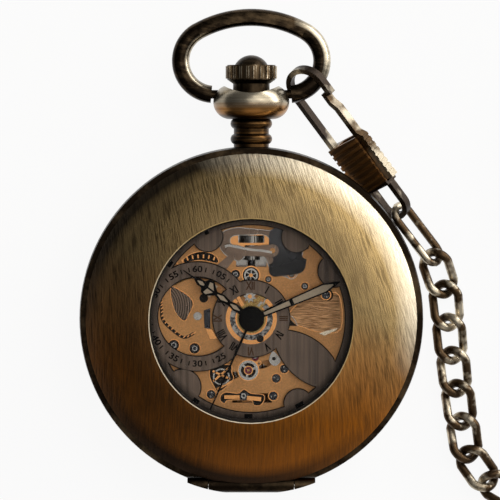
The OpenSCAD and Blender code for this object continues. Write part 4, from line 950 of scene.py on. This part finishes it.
class WATCH_OT_movement(bpy.types.Operator):
    """Plates, bridges, wheels, keyless works, screws and jewels"""
    bl_idname = "watch.movement"
    bl_label = "Movement"

    def execute(self, context):
        dress_all(MOVEMENT_FINISHES)
        repaint(bpy.data.objects["fourth_wheel_look"], "black_lacquer",
                lambda at: at.z > SECONDS_HUB_Z)
        top = heights("setting_lever")[1]
        rib = strip(softened(LEVER_RIB, 5, False), RIB_W, top, RIB_H)
        heap("lever_rib", [rib], BODY_OF["setting_lever"], "bright_steel")
        return {"FINISHED"}


# Works on the mainplate: heights, outlines and places

PLATE_TOP = 6.09 * MM
THIN, MID, TALL = 0.03 * MM, 0.08 * MM, 0.16 * MM
RING_LIFT, RING_H = 1.01 * MM, 0.12 * MM
BEHIND_RING = RING_LIFT - 0.1 * MM
WORK_PIECES = {
    "steel": ("winding_plate", "grey_steel"),
    "cover": ("barrel_cover", "sandblasted"),
    # A cream flat that paints a glint on the plate.
    "glint": ("bevel_flat", "bare_edge"),
    "coils": ("spring_coils", "grey_steel"),
    # Dark flats that paint the shade in slots, holes and recesses.
    "gaps": ("slot_depths", "dark_gap"),
    "copper": ("copper_edges", "bright_copper"),
    "silver": ("steel_details", "bright_steel"),
    "dark": ("dark_details", "dark_steel"),
    "grained": ("grained_plate", "wavy_copper"),
    "mottled": ("etched_ring", "mottled_silver"),
}
WINDING_RIM = softened([
    (-4.2, 11.2), (-3.6, 12.0), (-1.9, 12.4), (-0.5, 12.3), (3.8, 11.75), (4.2, 10.6), (4.9, 9.5),
    (6.2, 9.05), (7.0, 9.1), (6.8, 8.0), (6.45, 6.5), (6.05, 5.7), (5.5, 5.4), (4.85, 5.6),
    (4.0, 5.97), (2.9, 6.5), (2.3, 7.3), (1.96, 8.2), (1.0, 8.7), (-0.5, 8.7), (-1.6, 7.85),
    (-2.7, 8.2), (-3.8, 8.95), (-4.4, 10.1)])
WINDING_HOLE = softened([
    (-2.7, 10.1), (-2.9, 10.8), (-2.3, 11.3), (-0.5, 11.4), (1.4, 11.5), (2.4, 11.0), (2.7, 10.1),
    (2.1, 9.4), (1.2, 9.3), (0.3, 9.4), (-1.6, 9.9)])
ARCH_SLOT = softened([
    (-9.3, 7.95), (-9.05, 8.3), (-8.1, 8.85), (-6.8, 9.15), (-5.5, 8.9), (-4.75, 8.4),
    (-4.5, 7.85), (-4.7, 7.55), (-5.9, 7.8), (-7.2, 7.95), (-8.3, 7.75), (-9.05, 7.6)])
BALANCE_WINDOW = softened([
    (-5.6, -6.9), (-4.6, -6.4), (-2.8, -6.4), (-2.7, -7.3), (-2.45, -8.3), (-3.45, -9.4),
    (-4.5, -10.05), (-5.1, -9.3), (-5.7, -8.0)])
BAR_SLOT = softened([
    (-4.2, -10.6), (-3.45, -10.1), (-1.8, -10.25), (-1.0, -9.7), (-0.1, -10.25), (1.6, -10.45),
    (1.75, -11.2), (1.2, -11.9), (0.3, -11.85), (-0.1, -11.2), (-3.1, -11.2), (-3.65, -11.65),
    (-4.2, -11.3)])
GRAINED = [(5.15, 0.55), (6.05, 1.7), (7.0, 2.45), (9.6, 3.35), (12.0, 3.15), (12.2, -1.5),
           (9.25, -1.85), (6.8, -1.1), (5.2, -0.75)]
RACK_SLOT = [(-12.35, 2.4), (-12.3, 1.3), (-12.1, -0.2), (-10.9, -1.5), (-9.25, -2.6),
             (-7.85, -2.05)]
LENS = softened([(-11.0, 4.3), (-9.6, 3.75), (-8.3, 2.8), (-7.95, 1.9), (-8.4, 0.75),
                 (-9.15, -0.35), (-10.2, 0.55), (-10.8, 2.05)])
LENS_PLATE = softened([(-11.7, 3.2), (-10.6, 4.6), (-8.6, 3.6), (-7.6, 1.9), (-8.4, 0.0),
                       (-9.4, -1.3), (-11.1, -1.2), (-11.7, 0.8)])
STUD_PLATE = softened([(2.45, -5.4), (3.0, -4.5), (4.0, -5.7), (3.35, -6.5), (2.6, -6.15)])
CLICK_NOTCH = [(4.95, 0.2), (6.25, -1.03), (4.95, -1.03)]
CLICK_EDGE = softened([(5.1, 0.45), (5.8, 0.05), (6.3, -1.0)], 5, False)
# Outline of a flat cream piece that stands for a painted glint.
GLINT_OUTLINE = [(9.25, -2.05), (10.2, -1.7), (11.85, -1.3), (11.45, -1.7), (10.0, -2.35)]
SIDE_STEEL = [(-6.5, 1.1), (-5.6, 1.4), (-5.6, -1.4), (-6.4, -1.3)]
SIDE_COPPER = [(-6.25, -1.45), (-5.4, -1.5), (-4.7, -2.75), (-5.65, -2.85)]
ARCH_MID = (-6.85, 3.35)
COIL_MID = (-13.2, 1.6)
STAR_AT = (-0.2, 3.05)
SCREW_HEADS = ((-8.6, -6.8), (-5.5, -10.4), (3.0, -10.6), (3.4, -8.2), (4.5, -6.9), (10.2, 3.2))
RECESSED_SCREWS = ((-10.6, -3.65, 0.72), (-7.75, -4.1, 0.72), (-8.86, -7.1, 0.75),
                   (7.3, 4.4, 0.5), (5.5, 6.0, 0.42), (3.4, -8.2, 0.62), (4.5, -6.9, 0.52),
                   (3.0, -10.6, 0.56), (-2.15, 6.05, 0.6), (2.33, 5.35, 0.45))
# Group, maker, measures, height and, if any, lift over the plate
# Near-black rows are painted shade in slots, holes and notches.
WORKS = (
    ("gaps", prism, (ARCH_SLOT,), THIN),
    ("gaps", prism, (BALANCE_WINDOW,), THIN),
    ("gaps", prism, (BAR_SLOT,), THIN),
    ("copper", ribbon, (ARCH_SLOT, 0.1), MID),
    ("copper", ribbon, (BALANCE_WINDOW, 0.1), MID),
    ("copper", ribbon, (BAR_SLOT, 0.1), MID),
    ("copper", ribbon, (softened(GRAINED), 0.1), MID),
    ("gaps", strip, (softened(RACK_SLOT, 6, False), 0.4), THIN),
    ("silver", ribbon, (WINDING_RIM, 0.1), THIN * 1.5),
    ("silver", ribbon, (WINDING_HOLE, 0.1), THIN * 1.5),
    ("steel", prism, (WINDING_RIM,), THIN * 0.6),
    ("copper", prism, (WINDING_HOLE,), THIN * 1.1),
    ("copper", ribbon, (LENS, 0.12), MID),
    ("cover", prism, (LENS_PLATE,), THIN * 0.6),
    ("gaps", prism, (LENS,), THIN),
    ("grained", prism, (GRAINED,), MID * 0.6),
    ("gaps", prism, (CLICK_NOTCH,), THIN, MID),
    ("silver", strip, (CLICK_EDGE, 0.09), MID, MID),
    ("glint", prism, (GLINT_OUTLINE,), TALL),
    ("silver", prism, (STUD_PLATE,), TALL),
    ("gaps", disc, (3.1, -5.5, 0.25), THIN, TALL),
    ("copper", hoop, (1.03, -6.1, 0.36, 0.24), TALL),
    ("copper", bar, ((-5.3, -7.2), (-2.9, -8.3), 0.28), MID, THIN),
    ("copper", bar, ((-5.2, -8.6), (-3.0, -6.7), 0.28), MID, THIN),
    ("copper", bar, ((-4.7, -9.7), (-2.6, -8.6), 0.28), MID, THIN),
    ("silver", hoop, (-4.1, -8.0, 1.15, 0.95), MID, THIN),
    ("copper", bar, ((-3.7, -10.75), (-1.6, -10.75), 0.5), TALL * 1.8, THIN),
    ("copper", bar, ((-0.6, -10.85), (1.35, -11.05), 0.55), TALL * 1.8, THIN),
    ("dark", bar, ((-1.55, -10.65), (-0.5, -10.7), 1.0), TALL, THIN),
    ("silver", hoop, (-1.05, -10.6, 0.36, 0.18), TALL * 1.6, THIN),
    ("dark", prism, (SIDE_STEEL,), TALL),
    ("copper", prism, (SIDE_COPPER,), TALL),
    ("gaps", disc, (-6.5, 2.75, 0.6), THIN),
    ("gaps", prism, (round_points(10.35, 3.2, 0.85, 24),), MID),
    # Rings inside the hour ring, open at the top, with a star wheel behind
    ("copper", arc, (0.0, 0.0, 3.55, 2.92, 128, 412), RING_H, RING_LIFT),
    ("mottled", arc, (0.0, 0.0, 2.92, 2.2, 135, 405), RING_H * 0.7, RING_LIFT),
    ("copper", arc, (0.0, 0.0, 2.2, 1.98, 135, 405), RING_H * 1.5, RING_LIFT),
    ("gaps", disc, (1.2, -2.72, 0.5), THIN, RING_LIFT + RING_H),
    ("silver", toothed, (*STAR_AT, 0.85, 0.6, 9), RING_H, BEHIND_RING),
    ("copper", disc, (*STAR_AT, 0.28), RING_H, RING_LIFT),
    ("copper", bar, ((-1.95, 3.2), (-1.15, 1.75), 0.5), RING_H, BEHIND_RING),
    ("silver", bar, ((1.45, 2.3), (0.9, 1.7), 0.32), RING_H, BEHIND_RING),
    ("silver", bar, ((1.9, 2.7), (1.6, 1.9), 0.14), RING_H, BEHIND_RING),
)


def screw_rows():
    """Sunk screws with a copper edge, and screws with proud heads."""
    # Dark rings paint the shade in each sink and under each proud head.
    for x, y, r in RECESSED_SCREWS:
        yield "gaps", hoop, (x, y, r, r * 0.72), MID
        yield "copper", hoop, (x, y, r + 0.09, r), TALL
        yield "dark", disc, (x, y, r * 0.72), TALL
        yield "silver", hoop, (x, y, r * 0.5, r * 0.34), TALL * 1.15
    for x, y in SCREW_HEADS:
        yield "gaps", hoop, (x, y, 0.62, 0.4), TALL * 0.4, TALL
        yield "copper", hoop, (x, y, 0.72, 0.6), TALL * 1.5
        yield "silver", hoop, (x, y, 0.36, 0.2), TALL * 0.45, TALL


def tooth_rows():
    """Teeth that show in the arched slot and along the rack."""
    for k in range(8):
        turn = math.radians(128 - k * 8.3)
        yield "copper", bar, (polar(*ARCH_MID, 5.4, turn), polar(*ARCH_MID, 4.9, turn), 0.2), MID
    for x, y in softened(RACK_SLOT, 3, False):
        yield "copper", bar, ((x - 0.05, y - 0.05), (x + 0.22, y + 0.2), 0.14), MID


def wheel_rows(x=-0.05, y=5.9):
    """Small spoked wheel in a copper setting."""
    yield "copper", hoop, (x, y, 1.3, 1.12), MID * 2
    # Painted shade behind the spokes.
    yield "gaps", disc, (x, y, 1.13), MID * 0.5
    yield "silver", hoop, (x, y, 0.95, 0.72), MID * 1.5
    for k in range(3):
        turn = k * math.pi / 3 + 0.4
        yield "silver", bar, (polar(x, y, -0.78, turn), polar(x, y, 0.78, turn), 0.16), MID * 1.4
    yield "copper", disc, (x, y, 0.26), MID * 2


def jewel_rows(x=-0.4, y=-7.1):
    """Bright setting over the balance pivot."""
    yield "copper", hoop, (x, y, 1.5, 1.36), MID * 1.5
    yield "silver", hoop, (x, y, 1.36, 1.0), MID * 2.2
    # Painted shade inside the setting.
    yield "gaps", hoop, (x, y, 1.0, 0.62), MID
    yield "copper", hoop, (x, y, 0.62, 0.5), MID * 2.4
    for k in range(3):
        turn = k * math.tau / 3 + 0.3
        yield "silver", bar, (polar(x, y, 0.6, turn), polar(x, y, 1.02, turn), 0.3), MID * 1.8


def coil_rows():
    """Turns of the mainspring that show in the lens-shaped window."""
    for k in range(11):
        r = 2.05 + k * 0.32
        seen = [a for a in range(-90, 91, 3) if inside(polar(*COIL_MID, r, math.radians(a)), LENS)]
        if len(seen) > 2:
            yield "coils", arc, (*COIL_MID, r + 0.10, r - 0.10, seen[0], seen[-1]), 0.05 * MM, THIN


class WATCH_OT_works(bpy.types.Operator):
    """Small works that show through the dial"""
    bl_idname = "watch.works"
    bl_label = "Works under the dial"

    def execute(self, context):
        groups = {key: [] for key in WORK_PIECES}
        for rows in (WORKS, screw_rows(), tooth_rows(), wheel_rows(), jewel_rows(), coil_rows()):
            for group, make, measures, height, *lift in rows:
                groups[group].append(make(*measures, PLATE_TOP + sum(lift), height))
        for key, (name, finish) in WORK_PIECES.items():
            heap(name, groups[key], "case", finish)
        return {"FINISHED"}


HOURS = ("XII", "I", "II", "III", "IV", "V", "VI", "VII", "VIII", "IX", "X", "XI")
HOUR_RING, HOUR_R = (-0.1, 0.05), 4.42
MINUTE_RING, MINUTE_R = (-7.35, 0.3), 6.45
HOUR_STRETCH, HOUR_BOLD, MINUTE_STRETCH = 0.66, 0.06, 1.2
NUMBER_CLEAR_R, TICK_CLEAR_R, WINDOW_X = 5.9, 5.6, 13.2
DIAL_EDGE_R = 15.0
SHADE_W, SHADE_DROP, SHADE_H = 0.3, 0.06 * MM, 0.05 * MM
TICK_MINUTES, TICK_W, TICK_L = (1.7, 3.3), 0.16, 0.64
BLOCK_L = 0.6
# Place, turn in degrees and width of the black blocks on the dial's edge
EDGE_BLOCKS = (((-6.1, 11.8), 27, 0.55), ((-11.1, 7.5), 56, 0.9), ((-7.55, -11.2), 146, 0.9),
               ((6.6, -11.75), 209, 1.2), ((-0.4, -13.3), 180, 1.1))


class WATCH_OT_dial(bpy.types.Operator):
    """Dial plate with its printed rings"""
    bl_idname = "watch.dial"
    bl_label = "Dial"

    def execute(self, context):
        sizes = context.scene.watch_sizes
        dress("dial", "dial_plate")
        low, top = heights("dial")
        # Painted shade: dark ribbons just under the dial's inner outlines.
        shade = [ribbon(loop, SHADE_W, low - SHADE_DROP, SHADE_H) for loop in outlines("dial")
                 if math.hypot(*loop[0]) < DIAL_EDGE_R]
        heap("dial_shade", shade, "case", "dark_gap")
        quarters, others = [], []
        for hour, word in enumerate(HOURS):
            turn = -math.radians(hour * 30)
            spot = polar(*HOUR_RING, HOUR_R, turn + math.pi / 2)
            mark = lettering(word, sizes.hour_h, spot, turn, top, sizes.print_h, HOUR_STRETCH,
                             HOUR_BOLD)
            (others if hour % 3 else quarters).append(mark)
        for minute in range(0, 60, 5):
            others += self.minute_marks(minute, top, sizes)
        others += [block(spot, wide, BLOCK_L, math.radians(turn), top, sizes.print_h)
                   for spot, turn, wide in EDGE_BLOCKS]
        heap("dial_numbers", others, "case", "black_lacquer")
        heap("dial_quarters", quarters, "case", "rust_ink")
        return {"FINISHED"}

    def minute_marks(self, minute, top, sizes):
        """A number of the minute ring and the two ticks after it, where they show."""
        turn = -math.radians(minute * 6)
        spot = polar(*MINUTE_RING, MINUTE_R, turn + math.pi / 2)
        if math.hypot(*spot) < NUMBER_CLEAR_R or abs(spot[0]) > WINDOW_X:
            return []
        facing = turn if math.cos(turn) > 0 else turn + math.pi
        word = f"{minute or 60:02d}"
        made = [lettering(word, sizes.minute_h, spot, facing, top, sizes.print_h, MINUTE_STRETCH)]
        for extra in TICK_MINUTES:
            angle = turn - math.radians(extra * 6)
            spot = polar(*MINUTE_RING, MINUTE_R, angle + math.pi / 2)
            if math.hypot(*spot) >= TICK_CLEAR_R:
                made.append(block(spot, TICK_W, TICK_L, angle, top, sizes.print_h))
        return made


def slot(half, start, end):
    """Rectangle along a hand that points to twelve."""
    return [(-half, start), (half, start), (half, end), (-half, end)]


PAINT_FOOT, PAINT_DEPTH = 0.15, 0.6
# Heading in degrees from twelve o'clock, and the windows of the hand
HAND_PAINT = {
    "hour_hand": (305.7, [slot(0.29, 1.9, 3.55), slot(0.31, 3.95, 5.75), slot(0.93, 6.3, 7.55),
                          slot(0.28, 7.85, 9.05)]),
    "minute_hand": (67.1, [slot(0.36, 1.85, 5.75),
                           [(-0.5, 6.15), (0.5, 6.15), (0.5, 10.85), (0.1, 12.15), (-0.1, 12.15),
                            (-0.5, 10.85)]]),
}


class WATCH_OT_hands(bpy.types.Operator):
    """Hands with pale paint in their windows"""
    bl_idname = "watch.hands"
    bl_label = "Hands"

    def execute(self, context):
        dress_all({"black_lacquer": ("hour_hand", "minute_hand", "second_hand")})
        for node, (angle, shapes) in HAND_PAINT.items():
            low, high = heights(node)
            thick = high - low
            parts = [prism(shape, low + thick * PAINT_FOOT, thick * PAINT_DEPTH)
                     for shape in shapes]
            for part in parts:
                part.transform(Matrix.Rotation(-math.radians(angle), 4, "Z"))
            heap(node + "_paint", parts, BODY_OF[node], "hand_paint")
        return {"FINISHED"}


ROUND_WIRE = 60.0


class WATCH_OT_chain(bpy.types.Operator):
    """Clasp, curb links, ring and bar"""
    bl_idname = "watch.chain"
    bl_label = "Chain"

    def execute(self, context):
        dress("clasp_body", "clasp_metal")
        dress("clasp_lever", "worn_lever")
        dress("chain_ring", "chain_metal", ROUND_WIRE)
        dress("t_bar", "chain_metal")
        sizes = context.scene.watch_sizes
        tree = link_tree()
        values = {"Wire": sizes.link_wire, "Length": sizes.link_length, "Width": sizes.link_width,
                  "Twist": sizes.link_twist, "Finish": finish_of("chain_metal")}
        for node in [n for n in frame["nodes"] if n.startswith("chain_link") or n == "chain_tail"]:
            mesh = grown(tree, link_spots(node), values, node + "_wire")
            piece(node + "_wire", mesh, BODY_OF[node], "chain_metal", (node,))
        return {"FINISHED"}


# Name, setting of its power, place in metres, width, height, colour
LAMPS = (
    ("key_lamp", "key", (0.64, 0.44, 0.56), 1.05, 1.05, (1.0, 0.96, 0.88)),
    ("edge_lamp", "edge", (0.74, 0.48, 0.17), 1.1, 0.3, (1.0, 0.98, 0.95)),
    ("top_lamp", "top", (0.20, 0.24, 0.75), 0.6, 0.6, (1.0, 0.97, 0.92)),
    ("dial_lamp", "dial", (0.02, -0.03, 0.9), 0.24, 0.24, (1.0, 0.97, 0.92)),
    ("warm_lamp", "fill", (0.05, -0.60, 0.30), 0.5, 0.5, (1.0, 0.82, 0.62)),
)
CAMERA_AIM = Vector((-0.18, 9.45, 9.4)) * MM
SENSOR, CLIP_END = 36.0, 10.0
FLOOR_HALF, FLOOR_Z, FLOOR_GLOW = 1.5, -0.1 * MM, 0.92
SKY_LEFT, SKY_RIGHT = 0.35, 1.65
WHITE = (1.0, 1.0, 1.0)


class WATCH_OT_stage(bpy.types.Operator):
    """Pale floor, soft lamps, sky and camera"""
    bl_idname = "watch.stage"
    bl_label = "Stage"

    def execute(self, context):
        scene = context.scene
        stage = scene.watch_stage
        scene.view_settings.view_transform = "Standard"
        self.floor(scene, stage)
        self.sky(scene, stage)
        for name, setting, place, width, height, tone in LAMPS:
            data = bpy.data.lights.new(name, "AREA")
            data.shape = "RECTANGLE"
            data.size = width
            data.size_y = height
            data.energy = getattr(stage, setting)
            data.color = tone
            lamp = self.placed(scene, name, data, place)
            lamp.rotation_euler = Vector(place).to_track_quat("Z", "Y").to_euler()
        self.camera(scene, stage, scene.watch_sizes)
        return {"FINISHED"}

    def placed(self, scene, name, data, place):
        holder = bpy.data.objects.new(name, data)
        scene.collection.objects.link(holder)
        holder.location = place
        return holder

    def camera(self, scene, stage, sizes):
        """A long lens, a little towards the crown from straight above."""
        data = bpy.data.cameras.new("view")
        data.sensor_width = SENSOR
        data.lens = SENSOR * sizes.camera_far / sizes.view_width
        data.clip_end = CLIP_END
        back = Vector((0.0, math.sin(stage.tilt), math.cos(stage.tilt)))
        scene.camera = self.placed(scene, "view", data, CAMERA_AIM + sizes.camera_far * back)
        scene.camera.rotation_euler = (-stage.tilt, 0.0, 0.0)

    def floor(self, scene, stage):
        """A wide pale floor that looks white and keeps the shadow."""
        bm = bmesh.new()
        bmesh.ops.create_grid(bm, x_segments=1, y_segments=1, size=FLOOR_HALF)
        mesh = bpy.data.meshes.new("floor")
        bm.to_mesh(mesh)
        bm.free()
        floor = self.placed(scene, "floor", mesh, (0.0, 0.0, FLOOR_Z))
        c = Craft("pale_floor")
        c.finish((stage.floor,) * 3, 0.9, Specular_IOR_Level=0.0)
        path = c.node("ShaderNodeLightPath")
        seen = path["Is Camera Ray"] + path["Is Glossy Ray"] + path["Is Transmission Ray"]
        glow = c.node("ShaderNodeEmission", Color=WHITE, Strength=1.0)["Emission"]
        mixer = c.tree.nodes.new("ShaderNodeMixShader")
        c.feed(mixer.inputs[0], seen.clamp() * FLOOR_GLOW)
        c.tree.links.new(c.bsdf.outputs[0], mixer.inputs[1])
        c.tree.links.new(glow.socket, mixer.inputs[2])
        c.tree.links.new(mixer.outputs[0], c.tree.nodes["Material Output"].inputs["Surface"])
        mesh.materials.append(c.material)

    def sky(self, scene, stage):
        """Soft light from all round, weaker from the left."""
        world = bpy.data.worlds.new("sky")
        world.use_nodes = True
        tree = world.node_tree
        parts = tree.nodes.new("ShaderNodeSeparateXYZ")
        place = tree.nodes.new("ShaderNodeTexCoord")
        tree.links.new(place.outputs["Generated"], parts.inputs[0])
        level = tree.nodes.new("ShaderNodeMapRange")
        tree.links.new(parts.outputs["X"], level.inputs["Value"])
        level.inputs["From Min"].default_value = -1.0
        level.inputs["To Min"].default_value = stage.sky * SKY_LEFT
        level.inputs["To Max"].default_value = stage.sky * SKY_RIGHT
        back = tree.nodes["Background"]
        back.inputs["Color"].default_value = (*WHITE, 1.0)
        tree.links.new(level.outputs["Result"], back.inputs["Strength"])
        scene.world = world


class WATCH_PT_looks(bpy.types.Panel):
    """Settings and steps of the pocket watch"""
    bl_idname = "WATCH_PT_looks"
    bl_label = "Pocket Watch"
    bl_space_type = "VIEW_3D"
    bl_region_type = "UI"
    bl_category = "Pocket Watch"

    def draw(self, context):
        layout = self.layout
        for step in STEPS:
            layout.operator(step.bl_idname)
        for name in GROUPS:
            group = getattr(context.scene, name)
            box = layout.box()
            for key in group.bl_rna.properties.keys():
                if key not in ("rna_type", "name"):
                    box.prop(group, key)


GROUPS = {"watch_colours": WatchColours, "watch_sizes": WatchSizes, "watch_stage": WatchStage}
STEPS = (WATCH_OT_case, WATCH_OT_movement, WATCH_OT_works, WATCH_OT_dial, WATCH_OT_hands,
         WATCH_OT_chain, WATCH_OT_stage)
CLASSES = (*GROUPS.values(), *STEPS, WATCH_PT_looks)


def register():
    for cls in CLASSES:
        bpy.utils.register_class(cls)
    for name, group in GROUPS.items():
        setattr(bpy.types.Scene, name, bpy.props.PointerProperty(type=group))


def unregister():
    for name in GROUPS:
        delattr(bpy.types.Scene, name)
    for cls in reversed(CLASSES):
        bpy.utils.unregister_class(cls)


def main():
    register()
    bpy.ops.watch.case()
    bpy.ops.watch.movement()
    bpy.ops.watch.works()
    bpy.ops.watch.dial()
    bpy.ops.watch.hands()
    bpy.ops.watch.chain()
    bpy.ops.watch.stage()


if __name__ == "__main__":
    main()
